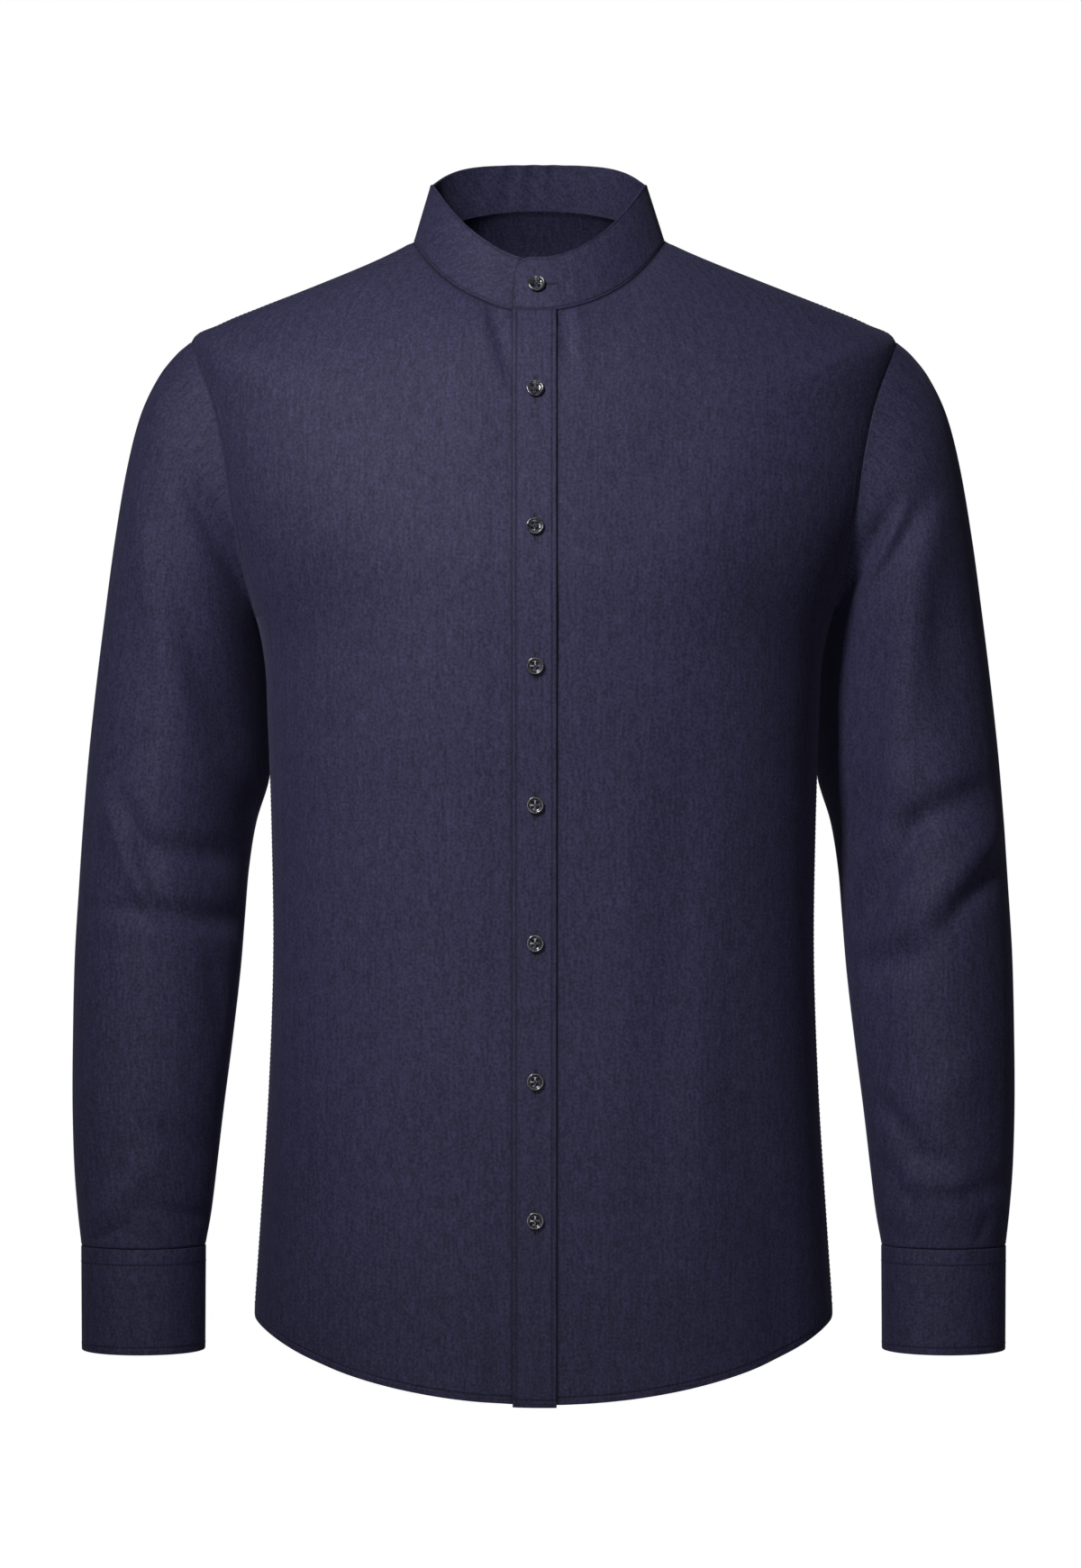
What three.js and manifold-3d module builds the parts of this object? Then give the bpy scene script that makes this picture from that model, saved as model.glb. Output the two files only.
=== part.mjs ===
// A man's slim mandarin collar shirt, filled out as it is worn, with no wearer in it.
// Millimetres. +Z is up, the front faces -Y, and the wearer's left is +X.
// The origin is midway between the two points where the shoulder seams meet the collar.
import * as THREE from "three";
import { mergeVertices } from "three/addons/utils/BufferGeometryUtils.js";
import Module from "manifold-3d";

const wasm = await Module();
wasm.setup();

// Cloth walls and the gaps between pieces
const CLOTH = 1.2;
const STRIP = 1.6;
const BAND = 2.0;
const SEAM_GAP = 0.3;
const LAYER_GAP = 0.4;

// The body as horizontal rings, from the hem to the collar seam. A ring's side point is at (sideX, seamY,
// sideZ) from its middleX, its centre front at (frontY, frontZ) and its centre back at (backY, backZ).
// The powers square its outline. The corners say how late a ring rises towards its side.
const BODY_COLUMNS = [
  "middleX", "sideX", "seamY", "sideZ", "frontY", "frontZ", "backY", "backZ",
  "frontPower", "backPower", "frontCorner", "backCorner",
];
const BODY_ROWS = [
  { at: "hem", sizes: [0, 189.5, 4, -704, -108, -749.2, 112, -762, 2.3, 2.3, 0.2, 0.4] },
  { at: "seat", sizes: [0, 185, 4, -638, -106, -656, 108.5, -662, 2.3, 2.3, 0.2, 0.4] },
  { at: "high hip", sizes: [0, 180, 4, -558, -103.5, -562, 103, -564, 2.3, 2.3, 0.2, 0.3] },
  { at: "waist", sizes: [0, 177, 4, -470, -102.5, -471, 99, -471, 2.3, 2.3, 0.2, 0.3] },
  { at: "ribs", sizes: [0, 178, 4, -388, -106, -388, 102, -388, 2.3, 2.3, 0.2, 0.3] },
  { at: "chest", sizes: [0, 180.3, 4, -320, -112, -320, 109, -320, 2.3, 2.3, 0.2, 0.3] },
  { at: "low armhole", sizes: [0, 183, 4.5, -278, -115.5, -276, 114.5, -278, 2.3, 2.3, 0.2, 0.3] },
  { at: "underarm", sizes: [0, 189, 5, -248, -117, -244, 117.5, -247, 2.3, 2.3, 0.2, 0.3] },
  { at: "armhole 1", sizes: [0, 202, 5, -216, -116.5, -218, 118.5, -215, 2.28, 2.3, 0.2, 0.3] },
  { at: "armhole 2", sizes: [0, 216, 5, -180, -114, -192, 118, -178, 2.26, 2.3, 0.2, 0.3] },
  { at: "armhole 3", sizes: [0, 225, 5, -143, -109.5, -166, 115, -136, 2.23, 2.28, 0.2, 0.3] },
  { at: "armhole 4", sizes: [0, 230, 5, -105, -104.5, -141, 108.5, -96, 2.18, 2.25, 0.2, 0.3] },
  { at: "shoulder point", sizes: [0, 231, 5, -68, -99.5, -121, 101.5, -64, 2.12, 2.2, 0.2, 0.3] },
  { at: "shoulder 1", sizes: [0, 212, 6, -55.8, -95.5, -107, 95.5, -46, 2.1, 2.15, 0.2, 0.3] },
  { at: "shoulder 2", sizes: [0, 184.5, 7, -44.2, -91, -93, 89, -29, 2.08, 2.12, 0.2, 0.3] },
  { at: "shoulder 3", sizes: [0, 151.5, 8, -31, -85.5, -80, 80.5, -11, 2.06, 2.1, 0.2, 0.3] },
  { at: "shoulder 4", sizes: [-0.6, 119.5, 9, -18, -80, -69, 71, 5, 2.04, 2.08, 0.2, 0.3] },
  { at: "shoulder 5", sizes: [-1.6, 97.6, 9.5, -8.3, -74.5, -60.5, 63, 17, 1.97, 2.04, 0.2, 0.35] },
  { at: "collar seam", sizes: [-2.8, 81.3, 10, 0, -69, -52.7, 56, 26.4, 1.9, 2, 0.25, 0.4] },
];
const UNDERARM = 7;
const SHOULDER_POINT = 12;
const COLLAR_SEAM = 18;

// The armhole, as angles before and behind the side seam at its widest
const ARMHOLE = { front: 14, back: 16, roundness: 0.55 };
const ARMHOLE_STEPS = 14;
const YOKE_STEP = 4;

// The yoke's front seam, as an angle before the shoulder line at the shoulder point and at the collar
const YOKE_SEAM = { atPoint: 1, atCollar: 16, curve: 1.7 };

// The front opening: the wearer's left front, with its placket, lies over the right front
const PLACKET = { edgeX: -19.6, width: 27.8, topShare: 0.2, belowHem: 1.6 };
const LEFT_FRONT_X = PLACKET.edgeX + 1.2;
const RIGHT_FRONT_X = PLACKET.edgeX + PLACKET.width + 2;
const FRONT_STEP_RUN = 30;

// The wearer's left sleeve as rings, from the armhole to the cuff, each from its outer to its inner line.
// The right sleeve is its mirror image, apart from the folds.
const SLEEVE_COLUMNS = ["outerX", "outerZ", "innerX", "innerZ", "innerY", "frontY", "midY", "backY"];
const SLEEVE_ROWS = [
  { at: "armhole", sizes: [231, -68, 189, -248, 5, -49, 5, 63] },
  { at: "cap 1", sizes: [241, -76.5, 188.6, -255, 18, -54, 5, 68] },
  { at: "cap 2", sizes: [252.5, -91, 186.6, -263, 31, -57, 5, 71] },
  { at: "cap 3", sizes: [264, -115, 184.2, -273, 41, -58, 5, 72] },
  { at: "cap 4", sizes: [273, -150, 182.4, -286, 47, -56, 5, 71] },
  { at: "upper arm 1", sizes: [281, -198, 181.2, -305, 50, -53, 4, 69] },
  { at: "upper arm 2", sizes: [287.3, -245, 180.8, -328, 49, -51, 4, 67] },
  { at: "upper arm 3", sizes: [293, -292, 182.4, -354, 45, -51, 3, 65] },
  { at: "upper arm 4", sizes: [298, -339, 190.3, -382, 37, -53, 3, 63] },
  { at: "above elbow 1", sizes: [301.5, -383, 194.5, -412, 26, -54, 2, 61] },
  { at: "above elbow 2", sizes: [304.2, -425, 196.4, -443, 14, -55, 1, 59] },
  { at: "elbow", sizes: [306.7, -470, 198.8, -480, 4, -55.5, -1, 56] },
  { at: "forearm 1", sizes: [307.6, -520, 203.6, -525, -3, -56, -4, 51] },
  { at: "forearm 2", sizes: [307.6, -565, 208.9, -568, -7, -56, -7, 45] },
  { at: "forearm 3", sizes: [306.2, -605, 213.3, -607, -10, -55.5, -10, 38] },
  { at: "above cuff", sizes: [303.8, -634, 216.6, -635, -12, -54, -12, 31.5] },
  { at: "cuff seam", sizes: [301.2, -656, 220.2, -656, -14, -51, -14, 23.5] },
];
const SLEEVE_SET = { lift: 0.6, aside: 0.6 };
const SLEEVE_FLOW = 3;

// The largest folds, seen from the front. Each is a soft trough with its middle at (x, z) on the sleeve,
// leaning from the upright by lean degrees, with its foot towards the body where lean is above 0.
const FOLD_COLUMNS = ["x", "z", "lean", "length", "width", "depth"];
const LEFT_SLEEVE_FOLDS = [
  { at: "underarm crease", sizes: [208, -205, 31, 100, 10, 6] },
  { at: "ridge beside it", sizes: [221, -218, 31, 90, 12, -3.5] },
  { at: "upper arm hollow", sizes: [218, -310, 8, 130, 18, 4] },
  { at: "elbow crease", sizes: [240, -376, 62, 95, 13, 6] },
  { at: "inner elbow hollow", sizes: [212, -470, 70, 60, 17, 5.5] },
  { at: "forearm hollow", sizes: [240, -592, 125, 70, 13, 3.5] },
];
const RIGHT_SLEEVE_FOLDS = [
  { at: "underarm crease", sizes: [208, -206, 30, 110, 10, 6] },
  { at: "upper arm ridge", sizes: [240, -290, 24, 130, 14, -3.5] },
  { at: "upper arm hollow", sizes: [222, -300, 20, 120, 15, 5] },
  { at: "elbow dent", sizes: [268, -340, 85, 50, 12, 3.5] },
  { at: "inner elbow hollow 1", sizes: [224, -402, 75, 75, 14, 5.5] },
  { at: "inner elbow hollow 2", sizes: [220, -442, 85, 75, 13, 5] },
  { at: "cuff hollow", sizes: [236, -612, 120, 55, 14, 3.5] },
];

// Cuffs: bands with overlapped ends, the overlap at the back of the wrist
const CUFF = { middleX: 260.7, halfTop: 40.6, halfBottom: 40.2, midY: -14, halfFront: 37, halfBack: 37.5 };
const CUFF_TOP = -656.9;
const CUFF_BOTTOM = -725;
const CUFF_OPENING = (360 * 22) / 28;
const CUFF_LAP = 20;
const CUFF_CORNER = 12;
const LAP_RUN = 26;

// The collar band: its top ring, in the body rings' own terms, and its round front corner
const COLLAR_TOP = {
  middleX: -3.2, sideX: 70.2, seamY: 14, sideZ: 37, frontY: -56, frontZ: -18.3, backY: 48, backZ: 54.8,
  frontPower: 1.9, backPower: 2, frontCorner: 0.08, backCorner: 0.7,
};
const COLLAR_CORNER = 13;
const COLLAR_UNDERLAP_X = 14;

// Sleeve plackets: a strip on each sleeve's back, up from the cuff
const SLEEVE_PLACKET = { firstColumn: 21, rows: 6 };

// Buttons: four-hole discs with a raised rim
const BUTTON = { radius: 5.6, height: 2.4, holeRadius: 0.75, holeOffset: 1.25, sides: 14 };
const BUTTON_X = -5.4;
const TOP_BUTTON_Z = -107.2;
const BUTTON_SPACING = 87.6;
const BUTTONS_ON_PLACKET = 7;
const COLLAR_BUTTON_SHARE = 0.48;

const NAVY = new THREE.MeshStandardMaterial({ color: 0x2f2d45, roughness: 0.85, metalness: 0 });
const DARK_HORN = new THREE.MeshStandardMaterial({ color: 0x2a2a30, roughness: 0.25, metalness: 0 });

const rad = THREE.MathUtils.degToRad;
const mix = THREE.MathUtils.lerp;
const ease = (value) => THREE.MathUtils.smoothstep(value, 0, 1);
const steps = (from, to, count) =>
  Array.from({ length: count + 1 }, (_, i) => mix(from, to, i / count));

// One row's sizes at any level between rows, on a smooth curve through the rows
function sizesAt(rows, columns, level) {
  const low = THREE.MathUtils.clamp(Math.floor(level), 0, rows.length - 2);
  const share = level - low;
  const out = {};
  columns.forEach((column, c) => {
    const b = rows[low].sizes[c];
    const d = rows[low + 1].sizes[c];
    const a = low > 0 ? rows[low - 1].sizes[c] : 2 * b - d;
    const e = low + 2 < rows.length ? rows[low + 2].sizes[c] : 2 * d - b;
    const bend = 2 * a - 5 * b + 4 * d - e;
    const twist = 3 * b - a - 3 * d + e;
    out[column] = b + 0.5 * share * (d - a + share * (bend + share * twist));
  });
  return out;
}

// A point on one ring: the angle is -90 degrees at the centre front, 0 at the wearer's left and 90 at the back
function ringPoint(ring, angle) {
  const across = Math.cos(rad(angle));
  const deep = Math.sin(rad(angle));
  const front = deep < 0;
  const depth = front ? ring.seamY - ring.frontY : ring.backY - ring.seamY;
  const power = front ? ring.frontPower : ring.backPower;
  const corner = front ? ring.frontCorner : ring.backCorner;
  const sum = Math.abs(across / ring.sideX) ** power + Math.abs(deep / depth) ** power;
  const reach = sum ** (-1 / power);
  const out = Math.abs(across * reach) / ring.sideX;
  const rise = 1 - (1 - corner) * out ** 2 - corner * out ** 6;
  const z = mix(ring.sideZ, front ? ring.frontZ : ring.backZ, rise);
  return new THREE.Vector3(ring.middleX + reach * across, ring.seamY + reach * deep, z);
}

const bodyPoint = (angle, level) => ringPoint(sizesAt(BODY_ROWS, BODY_COLUMNS, level), angle);

// The angle of the point at x on the front of a ring
function frontAngle(x, level) {
  const ring = sizesAt(BODY_ROWS, BODY_COLUMNS, level);
  const aside = x - ring.middleX;
  const out = 1 - (Math.abs(aside) / ring.sideX) ** ring.frontPower;
  const y = (ring.seamY - ring.frontY) * out ** (1 / ring.frontPower);
  return THREE.MathUtils.radToDeg(Math.atan2(-y, aside));
}

// The level on the body at which its front reaches a height, at x
function levelAtZ(x, z) {
  let low = 0;
  let high = COLLAR_SEAM;
  for (let i = 0; i < 40; i++) {
    const middle = (low + high) / 2;
    if (bodyPoint(frontAngle(x, middle), middle).z < z) low = middle;
    else high = middle;
  }
  return low;
}

// The outward direction of a surface at (a, b), from its two edges there
function outward(surface, a, b, stepA, stepB, lastB) {
  const before = Math.max(b - stepB, 0);
  const after = Math.min(b + stepB, lastB);
  const alongA = surface(a + stepA, b).sub(surface(a - stepA, b));
  const alongB = surface(a, after).sub(surface(a, before));
  return alongA.cross(alongB).normalize();
}
const bodyOut = (angle, level) => outward(bodyPoint, angle, level, 0.5, 0.05, COLLAR_SEAM);

// How far the folds in a table press a point in, or push it out where they are ridges
function foldDepth(table, x, z) {
  let depth = 0;
  for (const { sizes } of table) {
    const fold = Object.fromEntries(FOLD_COLUMNS.map((name, i) => [name, sizes[i]]));
    const right = fold.x - x;
    const down = fold.z - z;
    const along = down * Math.cos(rad(fold.lean)) + right * Math.sin(rad(fold.lean));
    const across = right * Math.cos(rad(fold.lean)) - down * Math.sin(rad(fold.lean));
    const fade = Math.exp(-((2 * along / fold.length) ** 4));
    depth += fold.depth * fade * Math.exp(-((across / fold.width) ** 2));
  }
  return depth;
}

// The armhole's edges: the share is 0 at the underarm and 1 at the shoulder point
const armholeLevel = (turn) =>
  mix(SHOULDER_POINT, UNDERARM, (1 - Math.cos(2 * Math.PI * turn)) / 2);
const armholeShare = (level) => (level - UNDERARM) / (SHOULDER_POINT - UNDERARM);
function armholeAngle(level, widest) {
  const share = THREE.MathUtils.clamp(armholeShare(level), 0, 1);
  return widest * (4 * share * (1 - share)) ** ARMHOLE.roundness;
}
const frontArmhole = (level) =>
  -armholeAngle(level, ARMHOLE.front) - YOKE_SEAM.atPoint * armholeShare(level);
const backArmhole = (level) =>
  armholeAngle(level, ARMHOLE.back) - YOKE_SEAM.atPoint * armholeShare(level);
function yokeSeam(level) {
  const share = (level - SHOULDER_POINT) / (COLLAR_SEAM - SHOULDER_POINT);
  return -mix(YOKE_SEAM.atPoint, YOKE_SEAM.atCollar, share ** YOKE_SEAM.curve);
}

// The outer edge of the front and of the back, from the hem up, with half a seam gap taken off
function gapAngle(level) {
  const half = SEAM_GAP / 2 + 0.05;
  return THREE.MathUtils.radToDeg(half / sizesAt(BODY_ROWS, BODY_COLUMNS, level).sideX);
}
function frontEdge(level) {
  if (level <= UNDERARM) return -gapAngle(level);
  if (level <= SHOULDER_POINT) return frontArmhole(level) - gapAngle(level);
  return yokeSeam(level) - 2 * gapAngle(level);
}
function backEdge(level) {
  if (level <= UNDERARM) return gapAngle(level);
  return backArmhole(level) + gapAngle(level);
}

// A closed solid from a grid of [outer, inner] points. A round grid joins its last column to its first.
function wall(rows, round = false) {
  const high = rows.length;
  const wide = rows[0].length;
  const points = [];
  for (const side of [0, 1])
    for (const row of rows) for (const pair of row) points.push(pair[side]);
  const at = (side, i, j) => side * high * wide + i * wide + (j % wide);
  const faces = [];
  const quad = (a, b, c, d) => faces.push(a, b, c, a, c, d);
  const last = round ? wide : wide - 1;
  for (let i = 0; i < high - 1; i++)
    for (let j = 0; j < last; j++) {
      quad(at(0, i, j), at(0, i, j + 1), at(0, i + 1, j + 1), at(0, i + 1, j));
      quad(at(1, i, j), at(1, i + 1, j), at(1, i + 1, j + 1), at(1, i, j + 1));
    }
  for (let j = 0; j < last; j++) {
    quad(at(0, 0, j), at(1, 0, j), at(1, 0, j + 1), at(0, 0, j + 1));
    quad(at(0, high - 1, j), at(0, high - 1, j + 1), at(1, high - 1, j + 1), at(1, high - 1, j));
  }
  for (let i = 0; i < high - 1 && !round; i++) {
    quad(at(0, i, 0), at(0, i + 1, 0), at(1, i + 1, 0), at(1, i, 0));
    quad(at(0, i, last), at(1, i, last), at(1, i + 1, last), at(0, i + 1, last));
  }
  return new THREE.BufferGeometry().setFromPoints(points).setIndex(faces);
}

// A pair of points on the body's surface, the outer one lifted off it
function bodyPair(angle, level, lift, thickness) {
  const out = bodyOut(angle, level);
  const outer = bodyPoint(angle, level).addScaledVector(out, lift);
  return [outer, outer.clone().addScaledVector(out, -thickness)];
}
const bodyPanel = (levels, angles, lift = () => 0) =>
  levels.map((level) =>
    angles(level).map((angle) => bodyPair(angle, level, lift(bodyPoint(angle, level).x), CLOTH)),
  );

// The left and right front, the back and the yoke
const BELOW_ARM = steps(0, UNDERARM, 11);
const IN_ARMHOLE = steps(0.5, 0, ARMHOLE_STEPS).slice(1).map(armholeLevel);
const OVER_SHOULDER = steps(SHOULDER_POINT, COLLAR_SEAM, 6).slice(1);
const YOKE_LEVEL = armholeLevel((YOKE_STEP / ARMHOLE_STEPS) * 0.5);
const FRONT_LEVELS = [...BELOW_ARM, ...IN_ARMHOLE, ...OVER_SHOULDER];

const PLACKET_MIDDLE_X = PLACKET.edgeX + PLACKET.width / 2;
const PLACKET_RIGHT_X = PLACKET.edgeX + PLACKET.width;
const frontAngles = (level) => [
  ...[LEFT_FRONT_X, PLACKET_MIDDLE_X].map((x) => frontAngle(x, level)),
  ...steps(frontAngle(PLACKET_RIGHT_X, level), frontEdge(level), 9),
];
const leftFront = bodyPanel(FRONT_LEVELS, frontAngles);

// The right front sinks under the left one beside the opening
const underLap = (x) =>
  -(CLOTH + LAYER_GAP) * ease((x - PLACKET.edgeX + FRONT_STEP_RUN) / FRONT_STEP_RUN);
const UNDER_LAP_X = [-0.67, -0.33, 0].map((share) => PLACKET.edgeX + share * FRONT_STEP_RUN);
const rightFrontAngles = (level) => [
  ...steps(-180 - frontEdge(level), frontAngle(PLACKET.edgeX - FRONT_STEP_RUN, level), 8),
  ...[...UNDER_LAP_X, PLACKET_MIDDLE_X, RIGHT_FRONT_X].map((x) => frontAngle(x, level)),
];
const rightFront = bodyPanel(FRONT_LEVELS, rightFrontAngles, underLap);

const backLevels = [...BELOW_ARM, ...IN_ARMHOLE.filter((level) => level < YOKE_LEVEL + 1e-6)];
backLevels[backLevels.length - 1] -= 0.005;
const back = bodyPanel(backLevels, (level) => steps(backEdge(level), 180 - backEdge(level), 20));

const yokeLevels = [
  YOKE_LEVEL + 0.005,
  ...IN_ARMHOLE.filter((level) => level > YOKE_LEVEL + 1e-6),
  ...OVER_SHOULDER,
];
const yokeEdge = (level) => (level <= SHOULDER_POINT ? backEdge(level) : yokeSeam(level));
const yokeAngles = (level) => steps(yokeEdge(level), 180 - yokeEdge(level), 24);
const yoke = bodyPanel(yokeLevels, yokeAngles);

// The front placket: a folded strip on the left front
const PLACKET_LIFT = SEAM_GAP + STRIP;
const placketPair = (x, level) => bodyPair(frontAngle(x, level), level, PLACKET_LIFT, STRIP);
const placketLevels = [...FRONT_LEVELS.slice(0, -1), COLLAR_SEAM - PLACKET.topShare];
const placket = placketLevels.map((level, i) =>
  [PLACKET.edgeX, PLACKET_MIDDLE_X, PLACKET_RIGHT_X].map((x) => {
    const pair = placketPair(x, level);
    if (i === 0) pair.forEach((point) => (point.z -= PLACKET.belowHem));
    return pair;
  }),
);

// A sleeve: the turn is 0 on its outer line, 0.25 in front, 0.5 inside and 0.75 behind
const LAST_SLEEVE_ROW = SLEEVE_ROWS.length - 1;
function sleeveRing(turn, level) {
  const ring = sizesAt(SLEEVE_ROWS, SLEEVE_COLUMNS, level);
  const out = (1 + Math.cos(2 * Math.PI * turn)) / 2;
  const fore = Math.sin(2 * Math.PI * turn);
  const depth = fore > 0 ? ring.midY - ring.frontY : ring.backY - ring.midY;
  return new THREE.Vector3(
    mix(ring.innerX, ring.outerX, out),
    ring.midY - fore * depth + (ring.innerY - ring.midY) * (1 - out) ** 4,
    mix(ring.innerZ, ring.outerZ, out),
  );
}
function armholePoint(turn) {
  const level = armholeLevel(turn);
  const angle = turn <= 0.5 ? frontArmhole(level) : backArmhole(level);
  const point = bodyPoint(angle, level);
  const out = bodyOut(angle, level);
  point.x += SLEEVE_SET.aside;
  return point.addScaledVector(out, SLEEVE_SET.lift);
}
function smoothSleeve(turn, level) {
  const whole = turn - Math.floor(turn);
  const point = sleeveRing(whole, level);
  if (level < SLEEVE_FLOW) {
    const lead = armholePoint(whole).sub(sleeveRing(whole, 0));
    point.addScaledVector(lead, 1 - ease(level / SLEEVE_FLOW));
  }
  return point;
}
const sleeveOut = (turn, level) =>
  outward(smoothSleeve, turn, level, 0.004, 0.06, LAST_SLEEVE_ROW);
function sleevePair(turn, level, folds, lift, thickness) {
  const point = smoothSleeve(turn, level);
  const out = sleeveOut(turn, level);
  const facing = ease(-1.4 * out.y) * ease(level / 1.5) * ease((LAST_SLEEVE_ROW - level) / 1.5);
  const outer = point.addScaledVector(out, lift - facing * foldDepth(folds, point.x, point.z));
  return [outer, outer.clone().addScaledVector(out, -thickness)];
}
const sleeveTurns = steps(0, 1, 2 * ARMHOLE_STEPS).slice(0, -1);
const sleeveLevels = [0, 0.5, 1, 1.6, 2.3, 3, ...steps(3, LAST_SLEEVE_ROW, 20).slice(1)];
function sleeve(folds) {
  return sleeveLevels.map((level) =>
    sleeveTurns.map((turn) => sleevePair(turn, level, folds, 0, CLOTH)),
  );
}

// A strip on the sleeve's back, over its slit
function sleevePlacket(folds) {
  const levels = [...sleeveLevels.slice(-SLEEVE_PLACKET.rows, -1), LAST_SLEEVE_ROW - 0.03];
  const turns = sleeveTurns.slice(SLEEVE_PLACKET.firstColumn, SLEEVE_PLACKET.firstColumn + 3);
  return levels.map((level) =>
    turns.map((turn) => sleevePair(turn, level, folds, SEAM_GAP + STRIP, STRIP)),
  );
}

// How much a band's end rises clear of its other end, by the distance run past the start of the lap
const overLap = (past) => (BAND + LAYER_GAP) * ease((past + LAP_RUN) / LAP_RUN);
// The height left under a round corner, by the distance from the band's end
function roundCorner(distance, radius, height) {
  if (distance >= radius) return 1;
  return 1 - (radius - Math.sqrt(radius ** 2 - (radius - distance) ** 2)) / height;
}

// A cuff runs once round the wrist and on over its own start
const CUFF_MEAN_RADIUS = 39;
const CUFF_TALL = CUFF_TOP - CUFF_BOTTOM;
function cuffPoint(degrees, share) {
  const half = mix(CUFF.halfTop, CUFF.halfBottom, share);
  const across = Math.cos(rad(degrees));
  const fore = Math.sin(rad(degrees));
  const depth = fore > 0 ? CUFF.halfFront : CUFF.halfBack;
  return new THREE.Vector3(
    CUFF.middleX + half * across,
    CUFF.midY - fore * depth,
    mix(CUFF_TOP, CUFF_BOTTOM, share),
  );
}
const cuffOut = (degrees, share) => outward(cuffPoint, degrees, share, 0.5, 0.05, 1);
function cuffPair(degrees, share, lift) {
  const out = cuffOut(degrees, share);
  const outer = cuffPoint(degrees, share).addScaledVector(out, lift);
  return [outer, outer.clone().addScaledVector(out, -BAND)];
}
const CUFF_LAP_DEGREES = THREE.MathUtils.radToDeg(CUFF_LAP / CUFF_MEAN_RADIUS);
const millimetres = (degrees) => rad(degrees) * CUFF_MEAN_RADIUS;
const cuffTurns = [...steps(0, 345, 25), ...steps(345, 360 + CUFF_LAP_DEGREES, 9).slice(1)];
const cuff = steps(0, 1, 3).map((share) =>
  cuffTurns.map((run) => {
    const toEnd = millimetres(360 + CUFF_LAP_DEGREES - run);
    const corner = roundCorner(toEnd, CUFF_CORNER, CUFF_TALL);
    return cuffPair(CUFF_OPENING - CUFF_LAP_DEGREES / 2 + run, share * corner, overLap(millimetres(run - 360)));
  }),
);

// The collar band runs from its round left end round the neck and on under its own start
function collarPoint(angle, share) {
  const base = bodyPoint(angle, COLLAR_SEAM);
  const top = ringPoint(COLLAR_TOP, angle);
  const rise = 1.5 * SEAM_GAP;
  return base.lerp(top, rise / top.distanceTo(base) + share * (1 - rise / top.distanceTo(base)));
}
const collarOut = (angle, share) => outward(collarPoint, angle, share, 0.5, 0.05, 1);
function collarPair(angle, share, lift) {
  const out = collarOut(angle, share);
  const outer = collarPoint(angle, share).addScaledVector(out, lift);
  return [outer, outer.clone().addScaledVector(out, -BAND)];
}
const COLLAR_HEIGHT = 36;
const COLLAR_START = frontAngle(PLACKET.edgeX, COLLAR_SEAM);
const COLLAR_END = 360 + frontAngle(COLLAR_UNDERLAP_X, COLLAR_SEAM);
const FRONT_RADIUS = 76;
const collarRun = (angle) => rad(angle) * FRONT_RADIUS;
const roundEnd = steps(COLLAR_START, COLLAR_START + 12, 5);
const collarAngles = [
  ...roundEnd,
  ...frontAngles(COLLAR_SEAM).filter((angle) => angle > COLLAR_START + 13),
  ...yokeAngles(COLLAR_SEAM).slice(1, -1),
  ...rightFrontAngles(COLLAR_SEAM).map((angle) => 360 + angle).filter((angle) => angle < COLLAR_END - 12),
  ...steps(COLLAR_END - 10, COLLAR_END, 4),
];
const collar = steps(0, 1, 3).map((share) =>
  collarAngles.map((angle) => {
    const toStart = collarRun(angle - COLLAR_START);
    const toEnd = collarRun(COLLAR_END - angle);
    const corner = roundCorner(Math.min(toStart, toEnd), COLLAR_CORNER, COLLAR_HEIGHT);
    return collarPair(angle, share * corner, -overLap(collarRun(angle - COLLAR_START - 360)));
  }),
);

// A button: a turned disc with a rim and four holes, standing on the origin with its face up +Y
function solidOf(geometry) {
  const bare = geometry.clone();
  bare.deleteAttribute("normal");
  bare.deleteAttribute("uv");
  const merged = mergeVertices(bare, 1e-4);
  return new wasm.Manifold(
    new wasm.Mesh({
      numProp: 3,
      vertProperties: new Float32Array(merged.attributes.position.array),
      triVerts: new Uint32Array(merged.index.array),
    }),
  );
}
function geometryOf(solid) {
  const mesh = solid.getMesh();
  return new THREE.BufferGeometry()
    .setAttribute("position", new THREE.BufferAttribute(mesh.vertProperties, 3))
    .setIndex(new THREE.BufferAttribute(mesh.triVerts, 1));
}
function buttonGeometry() {
  const { radius, height, holeRadius, holeOffset, sides } = BUTTON;
  const profile = [
    [0, 0],
    [radius * 0.8, 0],
    [radius, height * 0.4],
    [radius * 0.95, height * 0.85],
    [radius * 0.84, height],
    [radius * 0.6, height * 0.62],
    [0, height * 0.58],
  ].map(([r, h]) => new THREE.Vector2(r, h));
  let disc = solidOf(new THREE.LatheGeometry(profile, sides));
  for (const sideways of [-1, 1])
    for (const upright of [-1, 1]) {
      const hole = new THREE.CylinderGeometry(holeRadius, holeRadius, 3 * height, 5);
      hole.translate(sideways * holeOffset, 0, upright * holeOffset);
      disc = disc.subtract(solidOf(hole));
    }
  return geometryOf(disc);
}
const BUTTON_SHAPE = buttonGeometry();

const shirt = new THREE.Group();
function piece(name, geometry, material = NAVY) {
  const mesh = new THREE.Mesh(geometry, material);
  mesh.name = name;
  shirt.add(mesh);
  return mesh;
}

// A button on a band or placket, its back a seam gap off the outer point of a pair
function button(name, [outer, inner], mirror = 1) {
  const out = outer.clone().sub(inner).normalize();
  const mesh = piece(name, BUTTON_SHAPE, DARK_HORN);
  mesh.position.copy(outer).addScaledVector(out, SEAM_GAP);
  mesh.position.x *= mirror;
  out.x *= mirror;
  mesh.quaternion.setFromUnitVectors(new THREE.Vector3(0, 1, 0), out);
}

// The same grid on the wearer's right: x changes sign and the columns run the other way
const onRight = (rows) =>
  rows.map((row) =>
    [...row].reverse().map((pair) => pair.map((point) => new THREE.Vector3(-point.x, point.y, point.z))),
  );

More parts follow.
